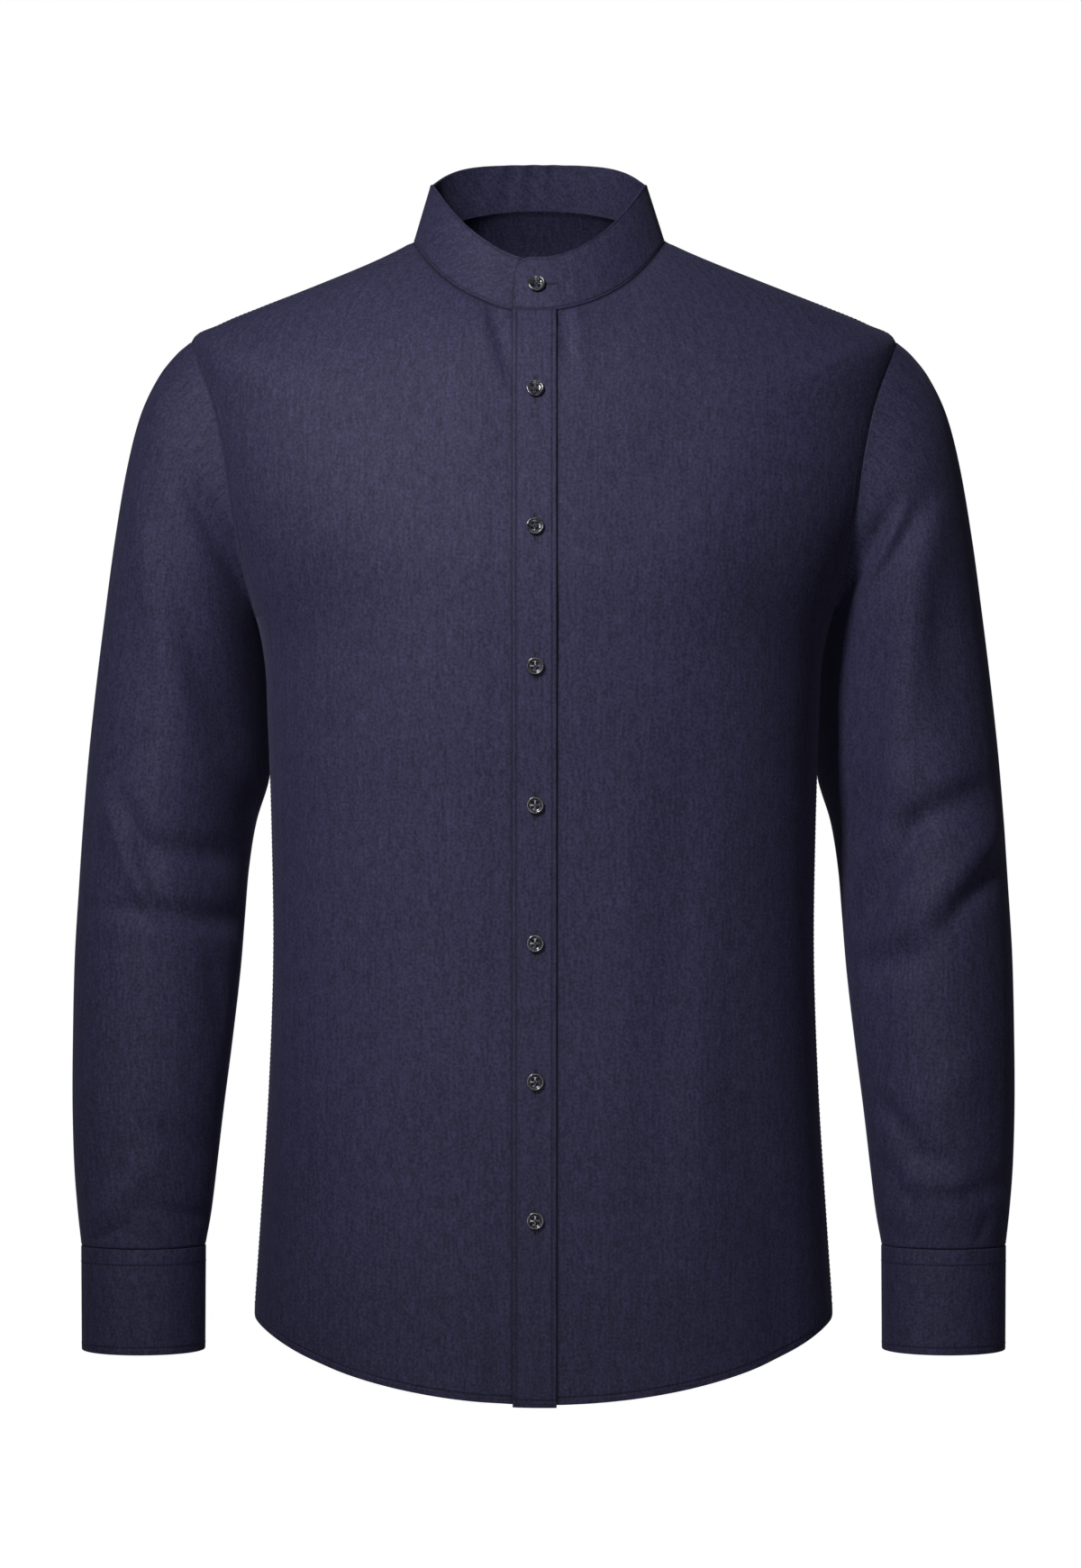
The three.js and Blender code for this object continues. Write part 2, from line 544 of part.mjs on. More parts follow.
piece("front_left", wall(leftFront));
piece("front_right", wall(rightFront));
piece("back", wall(back));
piece("yoke", wall(yoke));
piece("placket", wall(placket));
piece("collar_band", wall(collar));
piece("sleeve_left", wall(sleeve(LEFT_SLEEVE_FOLDS), true));
piece("sleeve_right", wall(onRight(sleeve(RIGHT_SLEEVE_FOLDS)), true));
piece("cuff_left", wall(cuff));
piece("cuff_right", wall(onRight(cuff)));
piece("sleeve_placket_left", wall(sleevePlacket(LEFT_SLEEVE_FOLDS)));
piece("sleeve_placket_right", wall(onRight(sleevePlacket(RIGHT_SLEEVE_FOLDS))));

for (let i = 0; i < BUTTONS_ON_PLACKET; i++) {
  const level = levelAtZ(BUTTON_X, TOP_BUTTON_Z - i * BUTTON_SPACING);
  button("button_" + (i + 1), placketPair(BUTTON_X, level));
}
const collarMiddle = frontAngle(BUTTON_X + 1, COLLAR_SEAM);
button("button_collar", collarPair(collarMiddle, COLLAR_BUTTON_SHARE, 0));
const cuffSeat = cuffPair(CUFF_OPENING, 0.5, overLap(CUFF_LAP));
button("cuff_button_left", cuffSeat);
button("cuff_button_right", cuffSeat, -1);

export default shirt;
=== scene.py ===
"""A man's slim mandarin collar shirt in navy herringbone cotton, filled out as it is worn, with no wearer.

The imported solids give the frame. Each cloth piece is drawn again here on the same form, finer, with its
folds, its sewing and its weave. Sizes are in millimetres until a mesh is made, which is in metres.
"""

import math

import bmesh
import bpy
import numpy as np
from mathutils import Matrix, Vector


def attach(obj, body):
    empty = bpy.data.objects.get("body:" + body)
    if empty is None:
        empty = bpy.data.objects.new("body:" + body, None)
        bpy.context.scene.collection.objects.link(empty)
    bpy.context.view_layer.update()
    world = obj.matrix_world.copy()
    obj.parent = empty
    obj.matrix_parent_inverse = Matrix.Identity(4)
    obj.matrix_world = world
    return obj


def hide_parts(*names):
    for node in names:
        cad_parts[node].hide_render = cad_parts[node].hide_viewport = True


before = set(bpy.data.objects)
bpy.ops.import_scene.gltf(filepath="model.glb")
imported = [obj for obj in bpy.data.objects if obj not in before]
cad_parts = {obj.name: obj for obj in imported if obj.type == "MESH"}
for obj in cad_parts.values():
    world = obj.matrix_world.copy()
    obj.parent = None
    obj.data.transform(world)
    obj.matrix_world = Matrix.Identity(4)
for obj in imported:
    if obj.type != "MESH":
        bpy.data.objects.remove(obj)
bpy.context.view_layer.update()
scene = bpy.context.scene

# The back panel: one piece of navy cotton from the curved hem up to the yoke seam, cut to the side seams
# and the armholes. It sets the form of the whole body, as level rings from the hem up to the collar seam.
# Columns: middle x, side x, seam y, side z, front y and z, back y and z, front and back power and corner.
BODY = np.array([
    [0, 189.5, 4, -704, -108, -749.2, 112, -762, 2.3, 2.3, 0.2, 0.4],
    [0, 185, 4, -638, -106, -656, 108.5, -662, 2.3, 2.3, 0.2, 0.4],
    [0, 180, 4, -558, -103.5, -562, 103, -564, 2.3, 2.3, 0.2, 0.3],
    [0, 177, 4, -470, -102.5, -471, 99, -471, 2.3, 2.3, 0.2, 0.3],
    [0, 178, 4, -388, -106, -388, 102, -388, 2.3, 2.3, 0.2, 0.3],
    [0, 180.3, 4, -320, -112, -320, 109, -320, 2.3, 2.3, 0.2, 0.3],
    [0, 183, 4.5, -278, -115.5, -276, 114.5, -278, 2.3, 2.3, 0.2, 0.3],
    [0, 189, 5, -248, -117, -244, 117.5, -247, 2.3, 2.3, 0.2, 0.3],
    [0, 202, 5, -216, -116.5, -218, 118.5, -215, 2.28, 2.3, 0.2, 0.3],
    [0, 216, 5, -180, -114, -192, 118, -178, 2.26, 2.3, 0.2, 0.3],
    [0, 225, 5, -143, -109.5, -166, 115, -136, 2.23, 2.28, 0.2, 0.3],
    [0, 230, 5, -105, -104.5, -141, 108.5, -96, 2.18, 2.25, 0.2, 0.3],
    [0, 231, 5, -68, -99.5, -121, 101.5, -64, 2.12, 2.2, 0.2, 0.3],
    [0, 212, 6, -55.8, -95.5, -107, 95.5, -46, 2.1, 2.15, 0.2, 0.3],
    [0, 184.5, 7, -44.2, -91, -93, 89, -29, 2.08, 2.12, 0.2, 0.3],
    [0, 151.5, 8, -31, -85.5, -80, 80.5, -11, 2.06, 2.1, 0.2, 0.3],
    [-0.6, 119.5, 9, -18, -80, -69, 71, 5, 2.04, 2.08, 0.2, 0.3],
    [-1.6, 97.6, 9.5, -8.3, -74.5, -60.5, 63, 17, 1.97, 2.04, 0.2, 0.35],
    [-2.8, 81.3, 10, 0, -69, -52.7, 56, 26.4, 1.9, 2, 0.25, 0.4],
])
UNDERARM, SHOULDER, NECK = 7, 12, 18
CLOTH = 1.2
SEAM_GAP = 0.3


def sizes_at(table, level):
    level = np.asarray(level, float)
    low = np.clip(np.floor(level).astype(int), 0, len(table) - 2)
    share = (level - low)[..., None]
    b, d = table[low], table[low + 1]
    a = np.where(low[..., None] > 0, table[np.maximum(low - 1, 0)], 2 * b - d)
    beyond = low[..., None] + 2 < len(table)
    e = np.where(beyond, table[np.minimum(low + 2, len(table) - 1)], 2 * d - b)
    bend, twist = 2 * a - 5 * b + 4 * d - e, 3 * b - a - 3 * d + e
    return np.moveaxis(b + 0.5 * share * (d - a + share * (bend + share * twist)), -1, 0)


def ease(value):
    value = np.clip(value, 0, 1)
    return value * value * (3 - 2 * value)


def unit(vector):
    return vector / np.maximum(np.linalg.norm(vector, axis=-1, keepdims=True), 1e-12)


def outward(surface, a, b, step_a, step_b, last_b):
    along_a = surface(a + step_a, b) - surface(a - step_a, b)
    along_b = surface(a, np.minimum(b + step_b, last_b)) - surface(a, np.maximum(b - step_b, 0))
    return unit(np.cross(along_a, along_b))


def ring_point(sizes, angle):
    middle, side_x, seam_y, side_z, front_y, front_z, back_y, back_z = sizes[:8]
    front_power, back_power, front_corner, back_corner = sizes[8:]
    across, deep = np.cos(np.radians(angle)), np.sin(np.radians(angle))
    front = deep < 0
    depth = np.where(front, seam_y - front_y, back_y - seam_y)
    power = np.where(front, front_power, back_power)
    corner = np.where(front, front_corner, back_corner)
    reach = (np.abs(across / side_x) ** power + np.abs(deep / depth) ** power) ** (-1 / power)
    out = np.abs(across * reach) / side_x
    rise = 1 - (1 - corner) * out**2 - corner * out**6
    z = side_z + (np.where(front, front_z, back_z) - side_z) * rise
    return np.stack([middle + reach * across, seam_y + reach * deep, z], -1)


def body_at(angle, level):
    return ring_point(sizes_at(BODY, level), angle)


def body_out(angle, level):
    return outward(body_at, angle, level, 0.5, 0.05, NECK)


# A soft trough, or a ridge where the depth is below 0: its middle at (x, z) as seen from the front, its
# lean from the upright in degrees (the foot towards -x), its length, width and depth.
def fold_depth(table, x, z):
    depth = np.zeros_like(x)
    for fold_x, fold_z, lean, length, width, deep in table:
        right, down = fold_x - x, fold_z - z
        tilt = math.radians(lean)
        along = down * math.cos(tilt) + right * math.sin(tilt)
        across = right * math.cos(tilt) - down * math.sin(tilt)
        fade = np.exp(-((2 * along / length) ** 4))
        depth += deep * fade * np.exp(-((across / width) ** 2))
    return depth


# The shirting: a fine herringbone of slanting ribs that lean to either side in turn, on the cut's own UV
# map in metres, under a mottle. The two sewing attributes say how far a point is from a row of stitches,
# where the cloth is drawn in and darkened with painted shade, and from_cover how far it is from the edge of
# a piece that lies over it, where the cloth is darkened with a painted shadow.
def shirting(name, column=0.0038, rib=0.0011):
    material = bpy.data.materials.new(name)
    material.use_nodes = True
    nodes, links = material.node_tree.nodes, material.node_tree.links
    nodes.clear()

    def reckon(operation, *values):
        node = nodes.new("ShaderNodeMath")
        node.operation = operation
        for socket, value in zip(node.inputs, values):
            if isinstance(value, (int, float)):
                socket.default_value = value
            else:
                links.new(value, socket)
        return node.outputs[0]

    def blend(share, first, second):
        node = nodes.new("ShaderNodeMix")
        node.data_type = "RGBA"
        links.new(share, node.inputs["Factor"])
        for socket, value in ((node.inputs[6], first), (node.inputs[7], second)):
            if isinstance(value, tuple):
                socket.default_value = value
            else:
                links.new(value, socket)
        return node.outputs[2]

    def cloud(scale, detail, where):
        node = nodes.new("ShaderNodeTexNoise")
        node.inputs["Scale"].default_value = scale
        node.inputs["Detail"].default_value = detail
        links.new(where, node.inputs["Vector"])
        return node.outputs["Fac"]

    grain = nodes.new("ShaderNodeUVMap")
    grain.uv_map = "cut"
    parts = nodes.new("ShaderNodeSeparateXYZ")
    links.new(grain.outputs["UV"], parts.inputs[0])
    across, along = parts.outputs["X"], parts.outputs["Y"]
    zigzag = reckon("PINGPONG", across, column)
    side = reckon("GREATER_THAN", reckon("PINGPONG", across, column * 2), column)
    turn = reckon("ADD", reckon("DIVIDE", reckon("ADD", along, zigzag), rib), reckon("MULTIPLY", side, 0.5))
    ribs = reckon("MULTIPLY_ADD", reckon("SINE", reckon("MULTIPLY", turn, 2 * math.pi)), 0.5, 0.5)

    place = nodes.new("ShaderNodeTexCoord")
    drawn_out = nodes.new("ShaderNodeCombineXYZ")
    links.new(across, drawn_out.inputs["X"])
    links.new(reckon("MULTIPLY", along, 0.14), drawn_out.inputs["Y"])
    fleck = reckon("SUBTRACT", cloud(620.0, 3.0, place.outputs["Object"]), 0.5)
    streak = reckon("SUBTRACT", cloud(560.0, 1.0, drawn_out.outputs[0]), 0.5)
    drift = reckon("SUBTRACT", cloud(16.0, 2.0, place.outputs["Object"]), 0.5)

    dark = (0.0152, 0.0139, 0.0398, 1)
    light = (0.0520, 0.0478, 0.1150, 1)
    share = reckon("MULTIPLY_ADD", ribs, 0.26, 0.2)
    share = reckon("ADD", share, reckon("MULTIPLY", fleck, 2.0))
    share = reckon("ADD", share, reckon("MULTIPLY", streak, 0.9))
    share = reckon("ADD", share, reckon("MULTIPLY", drift, 0.25))
    # Every other column a little lighter: painted sheen, for ribs leaning one way that catch more of the
    # light.
    share = reckon("ADD", share, reckon("MULTIPLY", side, 0.05))
    yarn_and_painted_light = blend(reckon("MAXIMUM", share, 0.0), dark, light)

    near = []
    for attribute in ("sewing_rows", "sewing_sides"):
        distance = nodes.new("ShaderNodeAttribute")
        distance.attribute_name = attribute
        spread = reckon("DIVIDE", distance.outputs["Fac"], 0.7)
        near.append(reckon("EXPONENT", reckon("MULTIPLY", reckon("MULTIPLY", spread, spread), -1.0)))
    drawn_in = reckon("MAXIMUM", near[0], near[1])
    unevenly = reckon("MULTIPLY_ADD", cloud(300.0, 1.0, place.outputs["Object"]), 1.2, 0.2)
    pucker = reckon("MULTIPLY", drawn_in, unevenly)
    # Painted shade along each row of stitches, where the cloth is drawn in to a groove.
    yarn_and_painted_light = blend(reckon("MULTIPLY", drawn_in, 0.6), yarn_and_painted_light, dark)
    # Painted shadow: the cloth under and just beside the edge of a piece lying over it is darkened towards
    # near black.
    cover = nodes.new("ShaderNodeAttribute")
    cover.attribute_name = "from_cover"
    away = reckon("DIVIDE", reckon("MAXIMUM", cover.outputs["Fac"], 0.0), 1.3)
    crevice_shade = reckon("EXPONENT", reckon("MULTIPLY", reckon("MULTIPLY", away, away), -1.0))
    yarn_and_painted_light = blend(reckon("MULTIPLY", crevice_shade, 0.75), yarn_and_painted_light, (0.006, 0.0055, 0.016, 1))

    surface = nodes.new("ShaderNodeBsdfPrincipled")
    links.new(yarn_and_painted_light, surface.inputs["Base Color"])
    surface.inputs["Roughness"].default_value = 0.72
    surface.inputs["Specular IOR Level"].default_value = 0.3
    surface.inputs["Sheen Weight"].default_value = 0.1
    surface.inputs["Sheen Roughness"].default_value = 0.45
    surface.inputs["Sheen Tint"].default_value = (0.5, 0.48, 0.8, 1)
    weave = nodes.new("ShaderNodeBump")
    weave.inputs["Strength"].default_value = 0.5
    weave.inputs["Distance"].default_value = 0.00012
    links.new(reckon("MULTIPLY_ADD", fleck, 2.2, ribs), weave.inputs["Height"])
    seam = nodes.new("ShaderNodeBump")
    seam.inputs["Strength"].default_value = 0.8
    seam.inputs["Distance"].default_value = 0.0006
    links.new(reckon("MULTIPLY", pucker, -1.0), seam.inputs["Height"])
    links.new(weave.outputs["Normal"], seam.inputs["Normal"])
    links.new(seam.outputs["Normal"], surface.inputs["Normal"])
    output = nodes.new("ShaderNodeOutputMaterial")
    links.new(surface.outputs["BSDF"], output.inputs["Surface"])
    return material


body_cloth = shirting("body_cloth")
FAR_OFF = 999.0


# A piece of cloth: a thin closed wall on a grid of points, its edges rolled over, with extra lines of points
# beside each edge. It also gives the rows of stitches, each at its own distance from the low, top, left and
# right edge, or None where an edge has no row. Covered says how much of each side another piece lies over;
# the cloth there and just beyond gets a painted shadow.
def cloth(name, points, normals, thickness, sewing=(None,) * 4, roll=0.7, round_way=False, datum=(0.5, 0),
          covered=(None,) * 4):
    def beside_edges(rows, normal_rows):
        near = (0.18 * roll, 0.5 * roll, 1.1 * roll)
        for _ in range(2):
            step = np.maximum(np.linalg.norm(rows[1] - rows[0], axis=-1, keepdims=True), 1e-6)
            extra = [rows[0] + (rows[1] - rows[0]) * np.minimum(d / step, 0.8) for d in near]
            rows = np.concatenate([rows[:1], np.stack(extra), rows[1:]])[::-1]
            repeat = np.repeat(normal_rows[:1], len(near), axis=0)
            normal_rows = np.concatenate([normal_rows[:1], repeat, normal_rows[1:]])[::-1]
        return rows, normal_rows

    points, normals = beside_edges(points, normals)
    if not round_way:
        points, normals = beside_edges(np.swapaxes(points, 0, 1), np.swapaxes(normals, 0, 1))
        points, normals = np.swapaxes(points, 0, 1), np.swapaxes(normals, 0, 1)
    high, wide = points.shape[:2]

    def run(rows):
        steps = np.linalg.norm(np.diff(rows, axis=0), axis=-1)
        return np.concatenate([np.zeros((1, rows.shape[1])), np.cumsum(steps, axis=0)])

    from_low, from_left = run(points), run(np.swapaxes(points, 0, 1)).T
    from_top, from_right = from_low[-1] - from_low, from_left[:, -1:] - from_left
    to_edge = np.minimum(from_low, from_top)
    if not round_way:
        to_edge = np.minimum(to_edge, np.minimum(from_left, from_right))
    inside = np.clip(roll - to_edge, 0, roll)
    drop = roll - np.sqrt(np.maximum(roll**2 - inside**2, 0))
    outer = points - normals * drop[..., None]
    inner = points - normals * np.maximum(thickness - 0.4 * drop, 0.55 * thickness)[..., None]

    index = np.arange(high * wide).reshape(high, wide)
    j0 = np.arange(wide if round_way else wide - 1)
    j1 = (j0 + 1) % wide
    a, b, c, d = index[:-1][:, j0], index[:-1][:, j1], index[1:][:, j1], index[1:][:, j0]
    half = high * wide
    low, top, left, right = index[0], index[-1], index[:, 0], index[:, -1]
    quads = [
        np.stack([a, b, c, d], -1).reshape(-1, 4),
        np.stack([a + half, d + half, c + half, b + half], -1).reshape(-1, 4),
        np.stack([low[j0], low[j0] + half, low[j1] + half, low[j1]], -1),
        np.stack([top[j0], top[j1], top[j1] + half, top[j0] + half], -1),
    ]
    if not round_way:
        quads.append(np.stack([left[:-1], left[1:], left[1:] + half, left[:-1] + half], -1))
        quads.append(np.stack([right[:-1], right[:-1] + half, right[1:] + half, right[1:]], -1))
    faces = np.concatenate(quads)
    verts = np.concatenate([outer.reshape(-1, 3), inner.reshape(-1, 3)]) * 0.001
    mesh = bpy.data.meshes.new(name)
    mesh.from_pydata(verts.tolist(), [], faces.tolist())

    row, column = round(datum[0] * (high - 1)), round(datum[1] * (wide - 1))
    grain = np.stack([from_left - from_left[:, [column]], from_low - from_low[[row]]], -1).reshape(-1, 2)
    grain = np.concatenate([grain, grain]) * 0.001
    loops = np.zeros(len(mesh.loops), np.int32)
    mesh.loops.foreach_get("vertex_index", loops)
    values = grain[loops]
    if round_way:
        joins = (faces % wide == wide - 1).any(axis=1)[np.repeat(np.arange(len(faces)), 4)]
        first = joins & (loops % wide == 0)
        full = from_left[:, -1] + np.linalg.norm(points[:, 0] - points[:, -1], axis=-1)
        values[first, 0] += full[(loops[first] % half) // wide] * 0.001
    mesh.uv_layers.new(name="cut").data.foreach_set("uv", values.ravel())

    def distance_field(attribute, edges, shifts):
        shifted = [edge + (FAR_OFF if shift is None else -shift) for edge, shift in zip(edges, shifts)]
        field = np.concatenate([np.minimum.reduce(shifted).ravel(), np.full(half, FAR_OFF)])
        layer = mesh.attributes.new(attribute, "FLOAT", "POINT")
        layer.data.foreach_set("value", field.astype(np.float32))

    distance_field("sewing_rows", (from_low, from_top), sewing[:2])
    distance_field("sewing_sides", (from_left, from_right), sewing[2:])
    distance_field("from_cover", (from_low, from_top, from_left, from_right), covered)

    def stitched(distance, lengths, lines):
        def value(column, axis):
            return np.interp(distance, lengths[:, column], lines[:, column, axis])

        return np.array([[value(column, axis) for axis in range(3)] for column in range(lengths.shape[1])])

    def between(rows, lengths):
        keep = np.ones(lengths[0].shape, bool)
        for row, length in zip(rows, lengths):
            if row is not None:
                keep &= length >= row
        return keep

    low_row, top_row, left_row, right_row = sewing
    level_part = between((left_row, right_row), (from_left[high // 2], from_right[high // 2]))
    upright_part = between((low_row, top_row), (from_low[:, wide // 2], from_top[:, wide // 2]))
    turned_outer, turned_normals = np.swapaxes(outer, 0, 1), np.swapaxes(normals, 0, 1)
    sides = [
        (low_row, from_low, outer, normals, level_part),
        (top_row, from_top[::-1], outer[::-1], normals[::-1], level_part),
        (left_row, from_left.T, turned_outer, turned_normals, upright_part),
        (right_row, from_right.T[::-1], turned_outer[::-1], turned_normals[::-1], upright_part),
    ]
    runs = []
    for distance, lengths, lines, line_normals, keep in sides:
        if distance is not None:
            path, lie = stitched(distance, lengths, lines), unit(stitched(distance, lengths, line_normals))
            runs.append((path[keep], lie[keep]))

    mesh.materials.append(body_cloth)
    mesh.polygons.foreach_set("use_smooth", np.ones(len(mesh.polygons), bool))
    mesh.update()
    piece = bpy.data.objects.new(name, mesh)
    scene.collection.objects.link(piece)
    return piece, runs


def sewn(piece, node):
    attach(piece, "root")
    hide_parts(node)


# Sewing thread of a mottled dark navy, laid along a path by a tree of geometry nodes: a small rounded stitch
# at every pitch, lying on the cloth along the path, or across it for the worked edge of a buttonhole.
def mottled(name, roughness, noise, shades):
    material = bpy.data.materials.new(name)
    material.use_nodes = True
    nodes, links = material.node_tree.nodes, material.node_tree.links
    place, mottle = nodes.new("ShaderNodeTexCoord"), nodes.new("ShaderNodeTexNoise")
    for socket, value in noise.items():
        mottle.inputs[socket].default_value = value
    ramp = nodes.new("ShaderNodeValToRGB")
    for element, (position, shade) in zip(ramp.color_ramp.elements, shades):
        element.position, element.color = position, (*shade, 1)
    surface = nodes["Principled BSDF"].inputs
    surface["Roughness"].default_value = roughness
    links.new(place.outputs["Object"], mottle.inputs["Vector"])
    links.new(mottle.outputs["Fac"], ramp.inputs["Fac"])
    links.new(ramp.outputs["Color"], surface["Base Color"])
    return material, surface


thread_shades = [(0.0, (0.009, 0.008, 0.022)), (1.0, (0.036, 0.033, 0.072))]
sewing_thread = mottled("sewing_thread", 0.5, {"Scale": 900.0}, thread_shades)[0]

stitch_tree = bpy.data.node_groups.new("stitch_row", "GeometryNodeTree")
stitch_tree.interface.new_socket("Path", in_out="INPUT", socket_type="NodeSocketGeometry")
for socket_name in ("Pitch", "Stitch length", "Stitch width", "Stitch height", "Turn", "Sway"):
    stitch_tree.interface.new_socket(socket_name, in_out="INPUT", socket_type="NodeSocketFloat")
stitch_tree.interface.new_socket("Thread", in_out="INPUT", socket_type="NodeSocketMaterial")
stitch_tree.interface.new_socket("Stitches", in_out="OUTPUT", socket_type="NodeSocketGeometry")


def step(kind, joined=(), **settings):
    node = stitch_tree.nodes.new(kind)
    for setting, value in settings.items():
        setattr(node, setting, value)
    for socket, source in dict(joined).items():
        stitch_tree.links.new(source, node.inputs[socket])
    return node


given = step("NodeGroupInput").outputs
path_curve = step("GeometryNodeMeshToCurve", {"Mesh": given["Path"]})
spots = step(
    "GeometryNodeCurveToPoints", {"Curve": path_curve.outputs["Curve"], "Length": given["Pitch"]},
    mode="LENGTH")
along_path = step("FunctionNodeAlignRotationToVector", {"Vector": spots.outputs["Tangent"]}, axis="X")
lie = step("GeometryNodeInputNamedAttribute", data_type="FLOAT_VECTOR")
lie.inputs["Name"].default_value = "lie"
on_cloth = step(
    "FunctionNodeAlignRotationToVector",
    {"Rotation": along_path.outputs["Rotation"], "Vector": lie.outputs["Attribute"]},
    axis="Z", pivot_axis="X")
lowest = step("ShaderNodeMath", {0: given["Sway"]}, operation="MULTIPLY")
lowest.inputs[1].default_value = -1
sway = step("FunctionNodeRandomValue", {2: lowest.outputs[0], 3: given["Sway"]}, data_type="FLOAT")
sway.inputs["Seed"].default_value = 7
yaw = step("ShaderNodeMath", {0: given["Turn"], 1: sway.outputs[1]})
euler = step("ShaderNodeCombineXYZ", {"Z": yaw.outputs[0]})
as_turn = step("FunctionNodeEulerToRotation", {0: euler.outputs[0]})
turned_stitch = step(
    "FunctionNodeRotateRotation",
    {"Rotation": on_cloth.outputs["Rotation"], "Rotate By": as_turn.outputs[0]},
    rotation_space="LOCAL")
bead = step("GeometryNodeMeshUVSphere")
for socket_name, value in (("Segments", 6), ("Rings", 4), ("Radius", 0.5)):
    bead.inputs[socket_name].default_value = value
bead_size = step("ShaderNodeCombineXYZ", {
    "X": given["Stitch length"], "Y": given["Stitch width"], "Z": given["Stitch height"]})
stitch_shape = step("GeometryNodeTransform", {
    "Geometry": bead.outputs["Mesh"], "Scale": bead_size.outputs[0]})
laid = step("GeometryNodeInstanceOnPoints", {
    "Points": spots.outputs["Points"], "Instance": stitch_shape.outputs["Geometry"],
    "Rotation": turned_stitch.outputs["Rotation"]})
real = step("GeometryNodeRealizeInstances", {"Geometry": laid.outputs["Instances"]})
smooth = step("GeometryNodeSetShadeSmooth", {0: real.outputs["Geometry"]})
dyed = step("GeometryNodeSetMaterial", {"Geometry": smooth.outputs[0], "Material": given["Thread"]})
step("NodeGroupOutput", {"Stitches": dyed.outputs["Geometry"]})

TOPSTITCH = {"Pitch": 3.0, "Stitch length": 2.4, "Stitch width": 0.42, "Stitch height": 0.4,
             "Turn": 0, "Sway": 0.05}


def stitch(name, runs, sizes, thread=sewing_thread, lift=0.05):
    verts, edges, lies = [], [], []
    for path, lie_rows in runs:
        start = len(verts)
        verts.extend((path + lie_rows * lift) * 0.001)
        lies.extend(lie_rows)
        edges.extend((start + i, start + i + 1) for i in range(len(path) - 1))
    mesh = bpy.data.meshes.new(name + "_path")
    mesh.from_pydata([tuple(v) for v in verts], edges, [])
    layer = mesh.attributes.new("lie", "FLOAT_VECTOR", "POINT")
    layer.data.foreach_set("vector", np.array(lies, np.float32).ravel())
    piece = bpy.data.objects.new(name, mesh)
    scene.collection.objects.link(piece)
    maker = piece.modifiers.new("stitches", "NODES")
    maker.node_group = stitch_tree
    for item in stitch_tree.interface.items_tree:
        if item.in_out == "INPUT" and item.name in sizes:
            size = sizes[item.name]
            maker[item.identifier] = float(size if item.name in ("Turn", "Sway") else size * 0.001)
        if item.name == "Thread":
            maker[item.identifier] = thread
    whole = piece.evaluated_get(bpy.context.evaluated_depsgraph_get())
    plain_mesh = bpy.data.meshes.new_from_object(whole)
    plain_mesh.name = name
    piece.modifiers.remove(maker)
    piece.data = plain_mesh
    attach(piece, "root")
    return piece


# The armhole and the side seam are the same curves for every piece that meets them.
def armhole_level(turn):
    return SHOULDER + (UNDERARM - SHOULDER) * (1 - np.cos(2 * np.pi * turn)) / 2


def armhole_angle(level, widest):
    share = (level - UNDERARM) / (SHOULDER - UNDERARM)
    return widest * (4 * np.clip(share * (1 - share), 0, 1)) ** 0.55 - share


def half_gap(level):
    return np.degrees((SEAM_GAP / 2 + 0.05) / sizes_at(BODY, level)[1])


def back_edge(level):
    return np.where(level <= UNDERARM, half_gap(level), armhole_angle(level, 16) + half_gap(level))


def spread(start, end, columns):
    share = np.linspace(0, 1, columns)[None, :]
    return start * (1 - share) + end * share


def body_grid(levels, angles_at, columns, folds=(), lift=None):
    level = np.repeat(levels[:, None], columns, axis=1)
    angle = angles_at(level[:, :1], columns)
    from_side = np.minimum(np.abs(angle), np.abs(np.abs(angle) - 180))
    hem_rise = 0.15 * np.exp(-((from_side / 3.0) ** 2))
    level = np.where(level < 1, hem_rise + level * (1 - hem_rise), level)
    points, normals = body_at(angle, level), body_out(angle, level)
    offset = -fold_depth(folds, points[..., 0], points[..., 2]) * ease((NECK - level) / 0.7)
    offset = offset - 0.9 * ease((level - NECK + 0.4) / 0.4)
    if lift is not None:
        offset = offset + lift(points[..., 0])
    return points + normals * offset[..., None], normals


below_arm = np.linspace(0, UNDERARM, 90)[:-1]
in_armhole = armhole_level(np.linspace(0.5, 0, 44))
over_shoulder = np.linspace(SHOULDER, NECK, 34)[1:]
YOKE_LEVEL = float(armhole_level(4 / 28))
HEM_ROW, ARMHOLE_ROW, EDGE_ROW = 4.5, 6.0, 1.7

BACK_FOLDS = [
    [-60, -330, -8, 300, 26, 2.4],
    [66, -360, 7, 320, 28, 2.6],
    [-120, -500, 10, 260, 22, 2.2],
    [118, -520, -9, 260, 24, 2.0],
    [8, -560, 3, 300, 26, 1.6],
    [-150, -230, -28, 110, 16, 2.4],
    [150, -236, 28, 120, 16, 2.6],
    [0, -120, 90, 160, 14, 1.0],
]
back_levels = np.concatenate([below_arm, in_armhole[in_armhole < YOKE_LEVEL - 0.02], [YOKE_LEVEL - 0.005]])


def back_angles(level, columns):
    return spread(back_edge(level), 180 - back_edge(level), columns)


points, normals = body_grid(back_levels, back_angles, 120, BACK_FOLDS)
back, back_rows = cloth(
    "back_panel", points, normals, CLOTH, (HEM_ROW, None, ARMHOLE_ROW, ARMHOLE_ROW), datum=(0.5, 0.5))
sewn(back, "back")
stitch("back_stitches", back_rows, TOPSTITCH)

